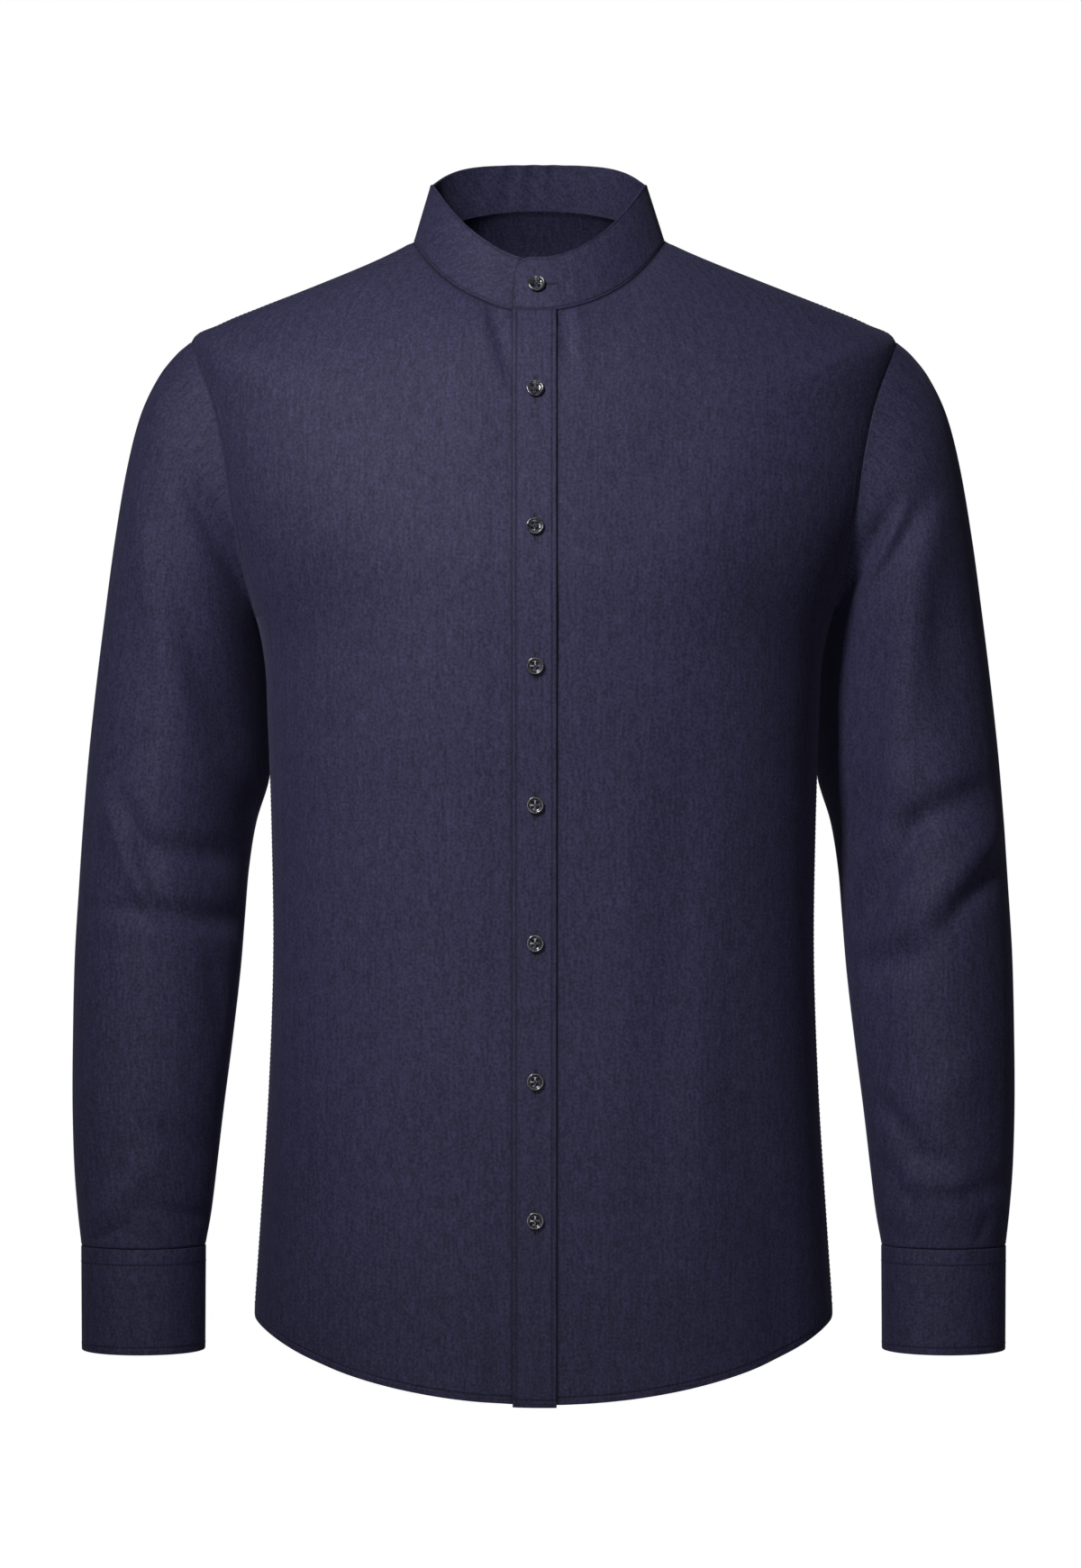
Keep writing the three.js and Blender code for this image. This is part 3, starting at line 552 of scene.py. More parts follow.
# The two fronts: each one piece of the same cotton from the hem over the chest to the yoke seam. The
# wearer's left one laps over the right one, which sinks under it beside the opening.
PLACKET_X, PLACKET_WIDE = -19.6, 27.8
LEFT_EDGE_INSIDE, RIGHT_EDGE_PAST, UNDER_COLLAR, SINK_OVER = 1.2, 2, 2.0, 30
FRONT_FOLDS = [
    [-27, -74, -15, 54, 5, 2.4],
    [-34, -82, -17, 62, 7, -1.0],
    [13, -62, -6, 52, 4, 1.8],
    [22, -72, -12, 60, 7, -0.9],
    [44, -70, 34, 60, 9, 1.0],
    [-29, -716, 0, 190, 7, 1.1],
    [-70, -150, -24, 150, 22, 1.4],
    [80, -150, 26, 150, 24, 1.4],
    [-110, -250, 78, 190, 24, 1.0],
    [60, -262, 96, 170, 24, 1.0],
    [-120, -420, 6, 300, 26, 1.6],
    [-62, -560, -5, 260, 20, 1.2],
    [50, -480, 3, 300, 13, -1.0],
    [80, -500, 5, 330, 14, 1.3],
    [104, -520, 2, 280, 12, -0.8],
    [134, -600, -8, 220, 18, 1.5],
    [-150, -250, 30, 90, 16, 2.0],
    [152, -250, -30, 90, 16, 2.0],
    [150, -690, 0, 110, 10, 1.4],
    [-140, -700, 5, 90, 10, 1.0],
]


def front_angle(x, level):
    sizes = sizes_at(BODY, level)
    aside = x - sizes[0]
    out = 1 - (np.abs(aside) / sizes[1]) ** sizes[8]
    y = (sizes[2] - sizes[4]) * out ** (1 / sizes[8])
    return np.degrees(np.arctan2(-y, aside))


def yoke_seam(level):
    share = np.clip((level - SHOULDER) / (NECK - SHOULDER), 0, 1)
    return -(1 + 15 * share**1.7)


def front_edge(level):
    armhole = armhole_angle(level, -14) - half_gap(level)
    seam = np.where(level <= SHOULDER, armhole, yoke_seam(level) - 2 * half_gap(level))
    return np.where(level <= UNDERARM, -half_gap(level), seam)


def left_angles(level, columns):
    beside = np.linspace(PLACKET_X + LEFT_EDGE_INSIDE, PLACKET_X + PLACKET_WIDE, 8)[None, :]
    start = front_angle(np.repeat(beside, len(level), axis=0), np.repeat(level, 8, axis=1))
    return np.concatenate([start, spread(start[:, -1:], front_edge(level), columns - 7)[:, 1:]], axis=1)


def right_angles(level, columns):
    end = front_angle(np.full_like(level, PLACKET_X + PLACKET_WIDE + RIGHT_EDGE_PAST), level)
    return spread(-180 - front_edge(level), end, columns)


def under_lap(x):
    return -(CLOTH + 0.4) * ease((x - PLACKET_X + SINK_OVER) / SINK_OVER)


front_levels = np.concatenate([below_arm, in_armhole, over_shoulder])
points, normals = body_grid(front_levels, left_angles, 64, FRONT_FOLDS)
front_left, left_rows = cloth(
    "left_front", points, normals, CLOTH, (HEM_ROW, None, None, ARMHOLE_ROW),
    covered=(None, UNDER_COLLAR, PLACKET_WIDE - LEFT_EDGE_INSIDE, None))
sewn(front_left, "front_left")
points, normals = body_grid(front_levels, right_angles, 70, FRONT_FOLDS, under_lap)
front_right, right_rows = cloth(
    "right_front", points, normals, CLOTH, (HEM_ROW, None, ARMHOLE_ROW, None), datum=(0.5, 1),
    covered=(None, UNDER_COLLAR, None, PLACKET_WIDE + RIGHT_EDGE_PAST))
sewn(front_right, "front_right")
beside_placket = [(rows[rows[:, 0] > PLACKET_X + PLACKET_WIDE], lie[rows[:, 0] > PLACKET_X + PLACKET_WIDE])
                  for rows, lie in left_rows]
beside_placket += [(rows[rows[:, 0] < PLACKET_X], lie[rows[:, 0] < PLACKET_X]) for rows, lie in right_rows]
stitch("front_stitches", beside_placket, TOPSTITCH)

# The yoke: one piece across the top of the back that comes forward over both shoulders to the seams in
# front. It lies over the back and the fronts, edge-stitched along both seams.
above_yoke_seam = in_armhole[in_armhole > YOKE_LEVEL + 0.02]
yoke_levels = np.concatenate([[YOKE_LEVEL + 0.005], above_yoke_seam, over_shoulder])


def yoke_angles(level, columns):
    edge = np.where(level <= SHOULDER, back_edge(level), yoke_seam(level))
    return spread(edge, 180 - edge, columns)


points, normals = body_grid(yoke_levels, yoke_angles, 140)
yoke, yoke_rows = cloth(
    "front_yoke", points, normals, CLOTH, (EDGE_ROW, None, EDGE_ROW, EDGE_ROW), datum=(0, 0.5),
    covered=(None, UNDER_COLLAR, None, None))
sewn(yoke, "yoke")
stitch("yoke_stitches", yoke_rows, TOPSTITCH)

# The placket: a folded strip down the left front from the collar to just past the hem, stitched beside both
# edges. Its seven upright buttonholes are slits with worked edges and a bar at each end.
STRIP = 1.6
PLACKET_ROW = 2.6
level = np.repeat(np.concatenate([front_levels[:-1], [NECK - 0.2]])[:, None], 14, axis=1)
across_x = np.repeat(np.linspace(PLACKET_X, PLACKET_X + PLACKET_WIDE, 14)[None, :], len(level), axis=0)
angle = front_angle(across_x, level)
points, normals = body_at(angle, level), body_out(angle, level)
points = points + normals * (SEAM_GAP + STRIP)
points[0, :, 2] -= 1.6
placket, placket_rows = cloth(
    "placket_strip", points, normals, STRIP, (HEM_ROW, None, PLACKET_ROW, PLACKET_ROW),
    covered=(None, 0.3, None, None))
sewn(placket, "placket")
stitch("placket_stitches", placket_rows, TOPSTITCH)

BUTTON_X, TOP_BUTTON_Z, BUTTON_PITCH = -5.4, -107.2, 87.6
WORKED = {"Pitch": 0.36, "Stitch length": 1.35, "Stitch width": 0.4, "Stitch height": 0.34,
          "Turn": math.pi / 2, "Sway": 0.08}
BAR = {"Pitch": 0.36, "Stitch length": 1.3, "Stitch width": 0.4, "Stitch height": 0.42,
       "Turn": math.pi / 2, "Sway": 0.05}
SLIT = {"Pitch": 0.5, "Stitch length": 0.9, "Stitch width": 0.34, "Stitch height": 0.16,
        "Turn": 0, "Sway": 0.0}
EDGE_ASIDE, BAR_REACH = 0.8, 1.4
# The slits: a near-black material laid in flat beads along each one, painted shade for the dark gap of the
# cut.
slit_shade = bpy.data.materials.new("buttonhole_slit")
slit_shade.use_nodes = True
slit_surface = slit_shade.node_tree.nodes["Principled BSDF"]
slit_surface.inputs["Base Color"].default_value = (0.004, 0.004, 0.009, 1)
slit_surface.inputs["Roughness"].default_value = 0.9


# The surface gives a point and its outward direction at a distance along the slit and to its side.
def buttonhole(surface, start, end):
    def line(places):
        return tuple(np.array(rows) for rows in zip(*[surface(along, aside) for along, aside in places]))

    lengthwise, sideways = np.linspace(start, end, 12), np.linspace(-BAR_REACH, BAR_REACH, 5)
    edges = [line([(along, aside) for along in lengthwise]) for aside in (-EDGE_ASIDE, EDGE_ASIDE)]
    slit = [line([(along, 0.0) for along in lengthwise])]
    bars = [line([(along, aside) for aside in sideways]) for along in (start, end)]
    return edges, slit, bars


fine_levels = np.linspace(0, NECK, 4001)
button_line = body_at(front_angle(np.full_like(fine_levels, BUTTON_X), fine_levels), fine_levels)[:, 2]
placket_seats, edges, slits, bars = [], [], [], []
for i in range(7):
    button_z = TOP_BUTTON_Z - i * BUTTON_PITCH

    def on_placket(down, aside):
        level = np.interp(button_z - down, button_line, fine_levels)[None]
        angle = front_angle(np.array([BUTTON_X + aside]), level)
        out = body_out(angle, level)[0]
        return body_at(angle, level)[0] + out * (SEAM_GAP + STRIP), out

    placket_seats.append(on_placket(0.0, 0.0))
    for rows, more in zip((edges, slits, bars), buttonhole(on_placket, -8.2, 9.4)):
        rows.extend(more)

# The sleeves: each one piece sewn into a tube along its inner line, set into the armhole and gathered a
# little into the cuff, with the creases of a worn arm. Columns: outer x and z, inner x and z, inner y,
# front y, middle y, back y. A turn is 0 on the outer line, 0.25 in front, 0.5 inside and 0.75 behind.
SLEEVE = np.array([
    [231, -68, 189, -248, 5, -49, 5, 63],
    [241, -76.5, 186.8, -255, 24, -49.5, 5, 68],
    [252.5, -91, 185.4, -263, 33, -50.5, 5, 71],
    [264, -115, 184.0, -273, 41, -51.5, 5, 72],
    [273, -150, 182.4, -286, 47, -52.5, 5, 71],
    [281, -198, 181.2, -305, 50, -53, 4, 69],
    [287.3, -245, 180.8, -328, 49, -51, 4, 67],
    [293, -292, 182.4, -354, 45, -51, 3, 65],
    [298, -339, 190.3, -382, 37, -53, 3, 63],
    [301.5, -383, 194.5, -412, 26, -54, 2, 61],
    [304.2, -425, 196.4, -443, 14, -55, 1, 59],
    [306.7, -470, 198.8, -480, 4, -55.5, -1, 56],
    [307.6, -520, 203.6, -525, -3, -56, -4, 51],
    [307.6, -565, 208.9, -568, -7, -56, -7, 45],
    [306.2, -605, 213.3, -607, -10, -55.5, -10, 38],
    [303.8, -634, 216.6, -635, -12, -54, -12, 31.5],
    [301.2, -656, 220.2, -656, -14, -51, -14, 23.5],
])
LAST = len(SLEEVE) - 1
WRIST_X, WRIST_Y = 260.7, -14
SEAM_DIP, TUCK_UNDER, TUCK_INWARD, INSIDE_CUFF = 0.55, 2.6, 3.5, 2.6
SLEEVE_FOLDS = {
    "left": [
        [204, -217, 28.5, 90, 8, 7],
        [215.6, -211, 31, 64, 5.5, -4.4],
        [230, -201, 32, 80, 9, 4.6],
        [237, -262, 9.5, 190, 13, -4.2],
        [226, -376, 12, 75, 9, -2.4],
        [212, -320, 6, 150, 16, 3],
        [257, -268, -8, 110, 13, 2.4],
        [257, -374, 66, 66, 11, 6.0],
        [223, -416, 28, 92, 9, 6.5],
        [266, -416, 42, 90, 11, -4.6],
        [277, -428, 42, 62, 8, 3.4],
        [218, -472, 76, 50, 12, 6.4],
        [216, -516, 5, 64, 12, 3],
        [262, -552, 40, 64, 15, -2],
        [228, -575, -40, 54, 7, 3],
        [248, -598, -80, 38, 5, 2.4],
        [253, -614, 90, 48, 6, -2],
        [285, -618, 80, 38, 8, 2],
        [225, -611, -35, 42, 6, 2],
        [240, -643, 10, 24, 3.2, 1.1],
        [262, -646, -20, 20, 3, 0.9],
        [283, -645, 25, 24, 3, 1.1],
        [228, -648, -35, 20, 3, 1.0],
    ],
    "right": [
        [206, -204, 29, 105, 9, 5.5],
        [248, -246, 13.5, 155, 12, -3.6],
        [221, -282, 21, 145, 15, 4.2],
        [270, -341, -45, 42, 7, 3],
        [267.5, -407, 23.5, 88, 6, -3.0],
        [259, -396, 22, 64, 7, 3.4],
        [229, -401, 80, 58, 9, 4.2],
        [226, -443, 82, 78, 9, 5.6],
        [277, -437, 87, 44, 4, 2.0],
        [272, -463, 85, 30, 4, 1.1],
        [212, -493, 8, 50, 5, 2],
        [232, -588, 60, 54, 9, 2.6],
        [269, -618, -40, 64, 9, -2],
        [238, -634, 75, 48, 6, 2.2],
        [282, -648, -58, 30, 3.5, 1.4],
        [262, -646, 20, 20, 3, 0.9],
        [247, -648, -15, 20, 3, 1.0],
        [230, -647, 30, 20, 3, 1.0],
    ],
}
SLEEVE_BACK_FOLDS = [
    [246, -245, 14, 140, 16, 2.6],
    [226, -300, 24, 110, 12, 2.6],
    [262, -330, -20, 90, 12, 1.8],
    [246, -410, 74, 70, 11, 1.8],
    [270, -450, -70, 60, 10, 1.6],
    [238, -520, 12, 110, 14, 1.8],
    [276, -590, 18, 80, 10, 1.6],
    [232, -640, 10, 26, 3.5, 1.2],
    [288, -642, -14, 24, 3.5, 1.1],
]


def armhole_seam(turn, lift, aside):
    level = armhole_level(turn)
    angle = armhole_angle(level, np.where(turn <= 0.5, -14, 16))
    out = body_out(angle, level)
    beside = aside * (1 + np.cos(2 * np.pi * turn)) / 2
    return body_at(angle, level) + out * lift + np.stack([beside, 0 * beside, 0 * beside], -1), out


def sleeve_ring(turn, level):
    outer_x, outer_z, inner_x, inner_z, inner_y, front_y, mid_y, back_y = sizes_at(SLEEVE, level)
    out, fore = (1 + np.cos(2 * np.pi * turn)) / 2, np.sin(2 * np.pi * turn)
    depth = np.where(fore > 0, mid_y - front_y, back_y - mid_y)
    y = mid_y - fore * depth + (inner_y - mid_y) * (1 - out) ** 4
    return np.stack([inner_x + (outer_x - inner_x) * out, y, inner_z + (outer_z - inner_z) * out], -1)


def sleeve_at(turn, level):
    turn = turn - np.floor(turn)
    lead = armhole_seam(turn, 0.25, 0.3)[0] - sleeve_ring(turn, np.zeros_like(level))
    return sleeve_ring(turn, level) + lead * (1 - ease(level / 3))[..., None]


def on_right(rows):
    return rows[:, ::-1] * np.array([-1, 1, 1])


seam_turns = np.array([0.0, 0.0012, 0.004])
around = np.concatenate([seam_turns, np.linspace(0.01, 0.99, 104), 1 - seam_turns[:0:-1]])
levels = np.concatenate([
    np.linspace(0, 3, 44)[:-1], np.linspace(3, LAST - 1.2, 120), np.linspace(LAST - 1.2, LAST, 28)[1:],
])
for side, folds in SLEEVE_FOLDS.items():
    level, turn = np.meshgrid(levels, (around + 0.5) % 1, indexing="ij")
    points = sleeve_at(turn, level)
    normals = outward(sleeve_at, turn, level, 0.004, 0.06, LAST)
    calm = ease(level / 1.5) * ease((LAST - level) / 0.35)
    in_front, behind = ease(-1.4 * normals[..., 1]), ease(1.4 * normals[..., 1])
    offset = -calm * in_front * fold_depth(folds, points[..., 0], points[..., 2])
    offset = offset - calm * behind * fold_depth(SLEEVE_BACK_FOLDS, points[..., 0], points[..., 2])
    from_seam = np.minimum(around, 1 - around) * 300
    offset = offset - SEAM_DIP * np.exp(-((from_seam / 0.7) ** 2)) * calm
    points = points + normals * offset[..., None]
    under = armhole_seam((around + 0.5) % 1, 0, 0)[1]
    inward = unit(np.array([0, 5, -158.0]) - points[0])
    tuck = points[0] - under * TUCK_UNDER + inward * TUCK_INWARD
    wrist = np.array([WRIST_X, WRIST_Y, -656.0])
    spread_out = unit((points[-1] - wrist) * np.array([1, 1, 0]))
    end = points[-1] - spread_out * INSIDE_CUFF + np.array([0, 0, -1.0])
    seam_path = (points[:, 6], normals[:, 6])
    points = np.concatenate([tuck[None], points, end[None], end[None] + np.array([0, 0, -5.0])])
    normals = np.concatenate([under[None], normals, spread_out[None], spread_out[None]])
    if side == "right":
        points, normals = on_right(points), on_right(normals)
        seam_path = tuple(line * np.array([-1, 1, 1]) for line in seam_path)
    sleeve = cloth(
        "sleeve_tube_" + side, points, normals, CLOTH, roll=0.01, round_way=True, datum=(0.8, 0.5))[0]
    sewn(sleeve, "sleeve_" + side)
    stitch("sleeve_stitches_" + side, [seam_path], TOPSTITCH)

# The slit strips: a folded strip over the slit up the back of each sleeve from the cuff, stitched all round.
levels = np.linspace(12.75, LAST - 0.03, 40)
level, turn = np.meshgrid(levels, np.linspace(21, 23, 12) / 28, indexing="ij")
normals = outward(sleeve_at, turn, level, 0.004, 0.06, LAST)
points = sleeve_at(turn, level)
behind = ease(1.4 * normals[..., 1]) * ease(level / 1.5) * ease((LAST - level) / 0.35)
offset = SEAM_GAP + STRIP - behind * fold_depth(SLEEVE_BACK_FOLDS, points[..., 0], points[..., 2])
points = points + normals * offset[..., None]
for side in ("left", "right"):
    if side == "right":
        points, normals = on_right(points), on_right(normals)
    strip, strip_rows = cloth(
        "slit_strip_" + side, points, normals, STRIP, (None, EDGE_ROW, EDGE_ROW, EDGE_ROW))
    sewn(strip, "sleeve_placket_" + side)
    stitch("slit_stitches_" + side, strip_rows, TOPSTITCH)

# The cuffs: stiffened bands of doubled cotton whose ends lap at the back of the wrist, with round lower
# corners, a row of stitches under the seam and one inside the free edges, and one level buttonhole.
BAND = 2.0
CUFF_TOP, CUFF_BOTTOM, CUFF_OPENING = -656.9, -725.0, 360 * 22 / 28
CUFF_RADIUS, CUFF_CORNER, CUFF_LAP = 39.0, 12.0, 20.0
LAP_DEGREES = math.degrees(CUFF_LAP / CUFF_RADIUS)
RISE_OVER = 26


def cuff_at(degrees, share):
    half = 40.6 - 0.4 * share
    across, fore = np.cos(np.radians(degrees)), np.sin(np.radians(degrees))
    depth = np.where(fore > 0, 37.0, 37.5)
    z = CUFF_TOP + (CUFF_BOTTOM - CUFF_TOP) * share
    return np.stack([WRIST_X + half * across, WRIST_Y - fore * depth, z], -1)


def round_corner(distance, radius, height):
    under = np.sqrt(np.maximum(radius**2 - np.clip(radius - distance, 0, radius) ** 2, 0))
    return 1 - np.where(distance < radius, radius - under, 0) / height


run = np.concatenate([np.linspace(0, 345, 110)[:-1], np.linspace(345, 360 + LAP_DEGREES, 30)])
share, run = np.meshgrid(np.linspace(0, 1, 26), run, indexing="ij")
to_end = np.radians(360 + LAP_DEGREES - run) * CUFF_RADIUS
share = share * round_corner(to_end, CUFF_CORNER, CUFF_TOP - CUFF_BOTTOM)
past = np.radians(run - 360) * CUFF_RADIUS
degrees = CUFF_OPENING - LAP_DEGREES / 2 + run
normals = outward(cuff_at, degrees, share, 0.5, 0.05, 1)
points = cuff_at(degrees, share) + normals * ((BAND + 0.4) * ease((past + RISE_OVER) / RISE_OVER))[..., None]
for side in ("left", "right"):
    sewing, covered = (10.5, 4.5, None, 4.5), (None, None, CUFF_LAP, None)
    if side == "right":
        points, normals = on_right(points), on_right(normals)
        sewing, covered = (10.5, 4.5, 4.5, None), (None, None, None, CUFF_LAP)
    cuff, cuff_rows = cloth("cuff_band_" + side, points, normals, BAND, sewing, roll=0.9, covered=covered)
    sewn(cuff, "cuff_" + side)
    stitch("cuff_stitches_" + side, cuff_rows, TOPSTITCH)


def on_cuff(forward, aside):
    share = np.array([0.5 + aside / (CUFF_BOTTOM - CUFF_TOP)])
    degrees = np.array([CUFF_OPENING + math.degrees(forward / CUFF_RADIUS)])
    out = outward(cuff_at, degrees, share, 0.5, 0.05, 1)[0]
    return cuff_at(degrees, share)[0] + out * (BAND + 0.4), out


cuff_seat = on_cuff(0.0, 0.0)
cuff_holes = buttonhole(on_cuff, -8.0, 7.0)
for rows, more in zip((edges, slits, bars), cuff_holes):
    rows.extend(more)
    rows.extend(tuple(line * np.array([-1, 1, 1]) for line in pair) for pair in more)

# The collar: a stiffened stand of doubled cotton from its round left end about the neck and on under its own
# start, stitched all round inside its edges, with one level buttonhole.
COLLAR_TOP = np.array([-3.2, 70.2, 14, 37, -56, -18.3, 48, 54.8, 1.9, 2, 0.08, 0.7])
COLLAR_START = float(front_angle(np.array(PLACKET_X), np.array(float(NECK))))
COLLAR_END = 360 + float(front_angle(np.array(14.0), np.array(float(NECK))))
COLLAR_STAND_OFF, COLLAR_DEEP, COLLAR_CORNER, COLLAR_LAP, NECK_RADIUS = 0.8, 36.0, 13.0, 33.8, 76


def collar_at(angle, share):
    base = body_at(angle, np.full_like(angle, NECK))
    top = ring_point([np.full_like(angle, v) for v in COLLAR_TOP], angle)
    low = -1.7 / np.linalg.norm(top - base, axis=-1)
    return base + (top - base) * (low + share * (1 - low))[..., None]


angle = np.concatenate([
    np.linspace(COLLAR_START, COLLAR_START + 14, 24),
    np.linspace(COLLAR_START + 14, COLLAR_START + 335, 170)[1:],
    np.linspace(COLLAR_START + 335, COLLAR_END, 34)[1:],
])
share, angle = np.meshgrid(np.linspace(0, 1, 26), angle, indexing="ij")
to_end = np.radians(np.minimum(angle - COLLAR_START, COLLAR_END - angle)) * NECK_RADIUS
share = share * round_corner(to_end, COLLAR_CORNER, COLLAR_DEEP)
past = np.radians(angle - COLLAR_START - 360) * NECK_RADIUS
normals = outward(collar_at, angle, share, 0.5, 0.05, 1)
ripple = np.sin(np.radians(angle) * 16) * np.exp(-(((angle - 90) / 42) ** 4)) * 0.8 * share
offset = COLLAR_STAND_OFF - (BAND + 1.0) * ease((past + RISE_OVER) / RISE_OVER) + ripple
points = collar_at(angle, share) + normals * offset[..., None]
collar, collar_rows = cloth(
    "collar_stand", points, normals, BAND, (EDGE_ROW, EDGE_ROW, EDGE_ROW, EDGE_ROW), roll=0.9,
    covered=(None, None, None, COLLAR_LAP))
sewn(collar, "collar_band")
inside_row = [(collar_rows[0][0] - collar_rows[0][1] * (BAND + 0.1), -collar_rows[0][1])]
stitch("collar_stitches", collar_rows + inside_row, TOPSTITCH)

COLLAR_BUTTON_ANGLE = float(front_angle(np.array(BUTTON_X + 1), np.array(float(NECK))))


def on_collar(left, aside):
    angle = np.array([COLLAR_BUTTON_ANGLE + math.degrees(left / NECK_RADIUS)])
    share = np.array([0.48 + aside / COLLAR_DEEP])
    out = outward(collar_at, angle, share, 0.5, 0.05, 1)[0]
    return collar_at(angle, share)[0] + out * COLLAR_STAND_OFF, out


collar_seat = on_collar(0.0, 0.0)
for rows, more in zip((edges, slits, bars), buttonhole(on_collar, -2.0, 13.6)):
    rows.extend(more)
stitch("buttonhole_edges", edges, WORKED)
stitch("buttonhole_bars", bars, BAR)
stitch("buttonhole_slits", slits, SLIT, slit_shade)

# The buttons: turned discs of smoky resin, each with a raised rim, a dished middle and four holes, sewn on
# through the holes with crossed thread.
smoke = {"Scale": 240.0, "Detail": 4.0, "Distortion": 0.9}
smoke_shades = [(0.32, (0.008, 0.008, 0.011)), (0.72, (0.085, 0.085, 0.105))]
smoky_button, button_surface = mottled("smoky_button", 0.2, smoke, smoke_shades)
button_surface["Specular IOR Level"].default_value = 0.8
button_surface["Coat Weight"].default_value = 1.0
button_surface["Coat Roughness"].default_value = 0.14

BUTTON_TURNING = [
    (0, 0), (3.4, 0), (4.9, 0.75), (5.5, 1.25), (5.6, 1.75), (5.35, 2.25), (4.9, 2.45), (4.4, 2.3),
    (3.9, 1.75), (3.5, 1.45), (3.0, 1.35), (0, 1.3),
]
turned_profile = bmesh.new()
ring = [turned_profile.verts.new((radius * 0.001, 0, height * 0.001)) for radius, height in BUTTON_TURNING]
ring_edges = [turned_profile.edges.new(pair) for pair in zip(ring, ring[1:])]
bmesh.ops.spin(
    turned_profile, geom=ring + ring_edges, axis=(0, 0, 1), cent=(0, 0, 0), angle=2 * math.pi, steps=40)
bmesh.ops.remove_doubles(turned_profile, verts=turned_profile.verts, dist=1e-6)
bmesh.ops.recalc_face_normals(turned_profile, faces=turned_profile.faces)
disc_mesh = bpy.data.meshes.new("disc")
turned_profile.to_mesh(disc_mesh)
turned_profile.free()
disc = bpy.data.objects.new("disc", disc_mesh)
scene.collection.objects.link(disc)
drills = bmesh.new()
for sideways in (-1, 1):
    for upright in (-1, 1):
        drill = bmesh.ops.create_cone(
            drills, cap_ends=True, segments=16, radius1=0.0011, radius2=0.0011, depth=0.008)
        bmesh.ops.translate(drills, verts=drill["verts"], vec=(sideways * 0.0014, upright * 0.0014, 0))
drill_mesh = bpy.data.meshes.new("drills")
drills.to_mesh(drill_mesh)
drills.free()
cutter = bpy.data.objects.new("drills", drill_mesh)
scene.collection.objects.link(cutter)
holes = disc.modifiers.new("holes", "BOOLEAN")
holes.object = cutter
holes.solver = "EXACT"
button_mesh = bpy.data.meshes.new_from_object(disc.evaluated_get(bpy.context.evaluated_depsgraph_get()))
button_mesh.materials.clear()
button_mesh.materials.append(smoky_button)
button_mesh.polygons.foreach_set("use_smooth", np.ones(len(button_mesh.polygons), bool))
bpy.data.objects.remove(cutter)
bpy.data.objects.remove(disc)

cross = bmesh.new()
for quarter, height in ((45, 1.5), (135, 1.72)):
    strand = bmesh.ops.create_cone(
        cross, cap_ends=True, segments=10, radius1=0.00038, radius2=0.00038, depth=0.0040)
    lengthwise = Vector((math.cos(math.radians(quarter)), math.sin(math.radians(quarter)), 0))
    lay = Vector((0, 0, 1)).rotation_difference(lengthwise).to_matrix()
    bmesh.ops.rotate(cross, verts=strand["verts"], cent=(0, 0, 0), matrix=lay)
    bmesh.ops.translate(cross, verts=strand["verts"], vec=(0, 0, height * 0.001))
cross_mesh = bpy.data.meshes.new("button_thread")
cross.to_mesh(cross_mesh)
cross.free()
cross_mesh.materials.append(sewing_thread)


def sew_on(node, seat, mirror=1):
    place, out = seat[0] * np.array([mirror, 1, 1]), seat[1] * np.array([mirror, 1, 1])
    turn = Vector((0, 0, 1)).rotation_difference(Vector(out)).to_matrix().to_4x4()
    turn.translation = Vector(place + out * SEAM_GAP) * 0.001
    for name, mesh in ((node + "_disc", button_mesh), (node + "_thread", cross_mesh)):
        own = mesh.copy()
        own.transform(turn)
        piece = bpy.data.objects.new(name, own)
        scene.collection.objects.link(piece)
        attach(piece, "root")
        if mesh == button_mesh:
            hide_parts(node)


for i, seat in enumerate(placket_seats):
    sew_on("button_%d" % (i + 1), seat)
sew_on("button_collar", collar_seat)
sew_on("cuff_button_left", cuff_seat)
sew_on("cuff_button_right", cuff_seat, -1)

# The camera, at the photo's angle: level, 3 m in front, its frame 1026.6 mm high at the shirt's middle.
camera_data = bpy.data.cameras.new("camera")
camera_data.sensor_width = 36
camera_data.lens = 36 * 3000 / 1026.6
camera = bpy.data.objects.new("camera", camera_data)
camera.location = (-0.002, -3.0, -0.357)
camera.rotation_euler = (math.pi / 2, 0, 0)
scene.collection.objects.link(camera)
scene.camera = camera

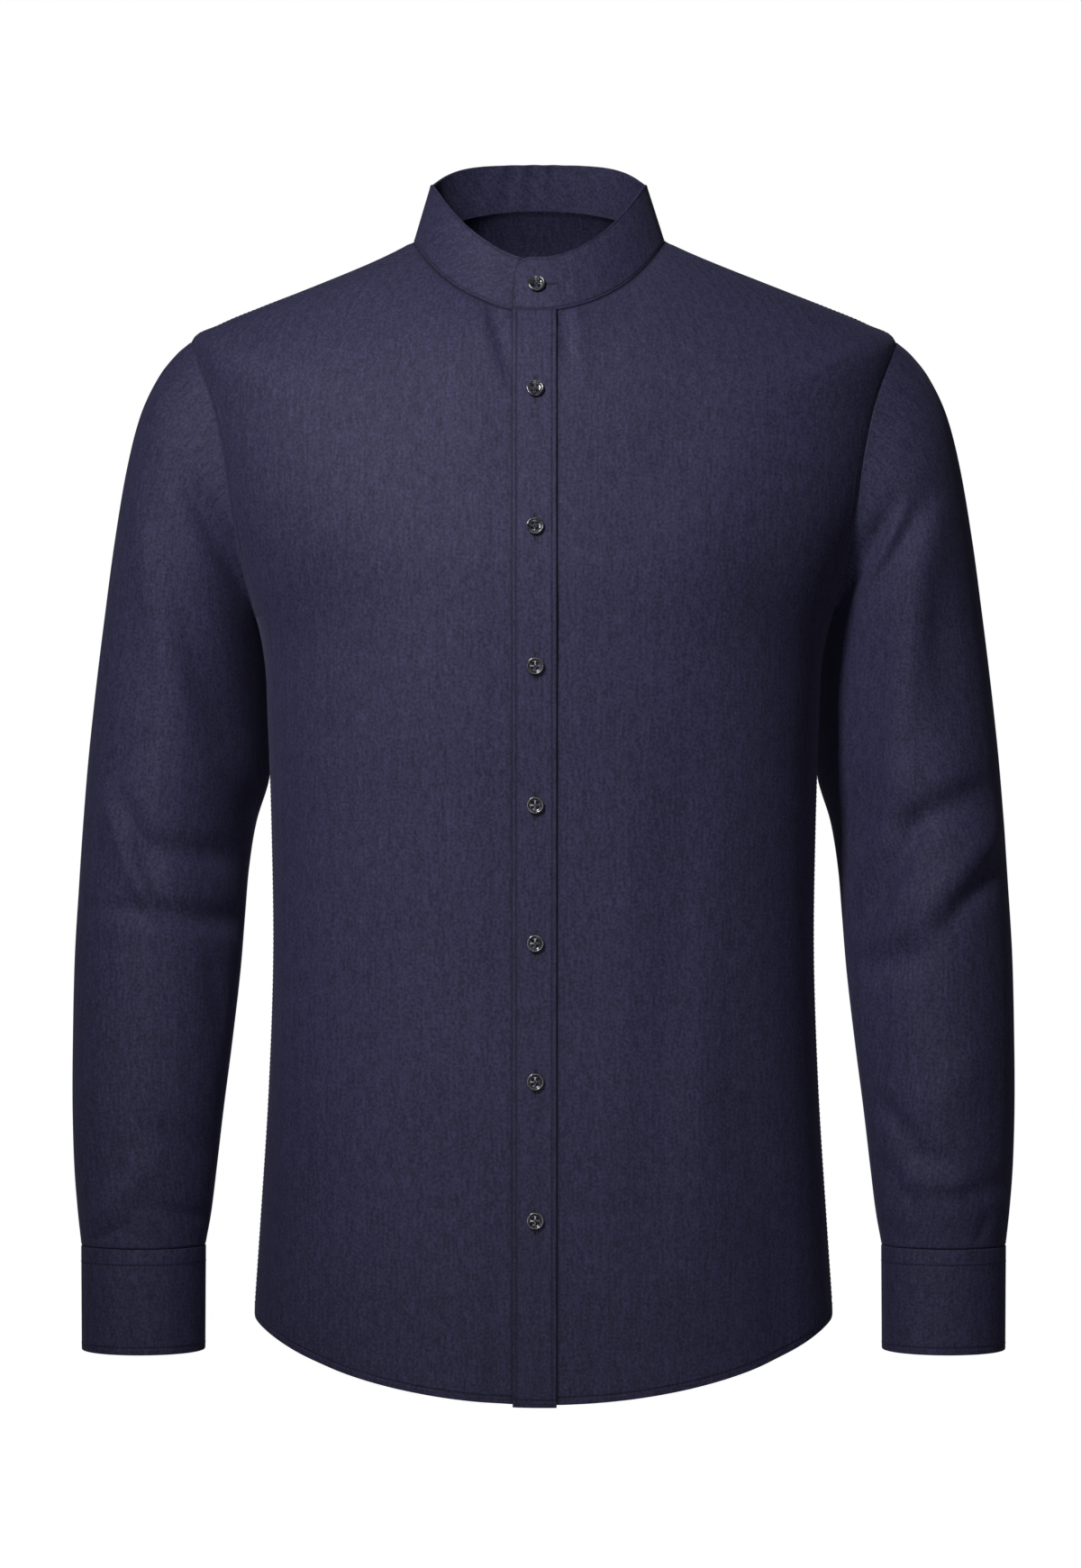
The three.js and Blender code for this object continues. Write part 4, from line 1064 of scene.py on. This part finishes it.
# The studio: a pale floor and backdrop, a tall soft key light on the left, a weak fill and a light behind.
pale_floor = bpy.data.materials.new("pale_floor")
pale_floor.use_nodes = True
floor_surface = pale_floor.node_tree.nodes["Principled BSDF"]
floor_surface.inputs["Base Color"].default_value = (0.9, 0.9, 0.9, 1)
floor_surface.inputs["Roughness"].default_value = 0.9
floor_surface.inputs["Emission Color"].default_value = (1, 1, 1, 1)
floor_surface.inputs["Emission Strength"].default_value = 0.95
bpy.ops.mesh.primitive_plane_add(size=14, location=(0, 0, -1.15))
floor = bpy.context.object
floor.name = "floor"
floor.data.materials.append(pale_floor)
floor.visible_diffuse = False
floor.visible_glossy = False

world = bpy.data.worlds.new("studio")
world.use_nodes = True
sky = world.node_tree.nodes["Background"]
sky.inputs["Color"].default_value = (1, 1, 1, 1)
seen = world.node_tree.nodes.new("ShaderNodeLightPath")
backdrop = world.node_tree.nodes.new("ShaderNodeMapRange")
backdrop.inputs["To Min"].default_value = 0.05
backdrop.inputs["To Max"].default_value = 1.0
world.node_tree.links.new(seen.outputs["Is Camera Ray"], backdrop.inputs["Value"])
world.node_tree.links.new(backdrop.outputs["Result"], sky.inputs["Strength"])
scene.world = world
scene.view_settings.view_transform = "Standard"


def strip_light(name, place, target, width, height, spread_degrees, power):
    data = bpy.data.lights.new(name, "AREA")
    data.shape = "RECTANGLE"
    data.size = width
    data.size_y = height
    data.spread = math.radians(spread_degrees)
    data.energy = power
    light = bpy.data.objects.new(name, data)
    light.location = place
    light.rotation_euler = (Vector(target) - Vector(place)).to_track_quat("-Z", "Y").to_euler()
    scene.collection.objects.link(light)
    return light


strip_light("key", (-0.74, -1.5, 0.78), (-0.03, -0.05, -0.19), 0.3, 0.8, 42, 2.4)
strip_light("fill", (0.2, -2.2, -0.9), (0.0, 0, -0.66), 0.8, 0.8, 80, 1.6)
back_light = strip_light("back", (0.0, 3.0, -0.5), (0.0, 0, -0.38), 0.6, 0.6, 40, 4.0)
back_light.visible_glossy = False
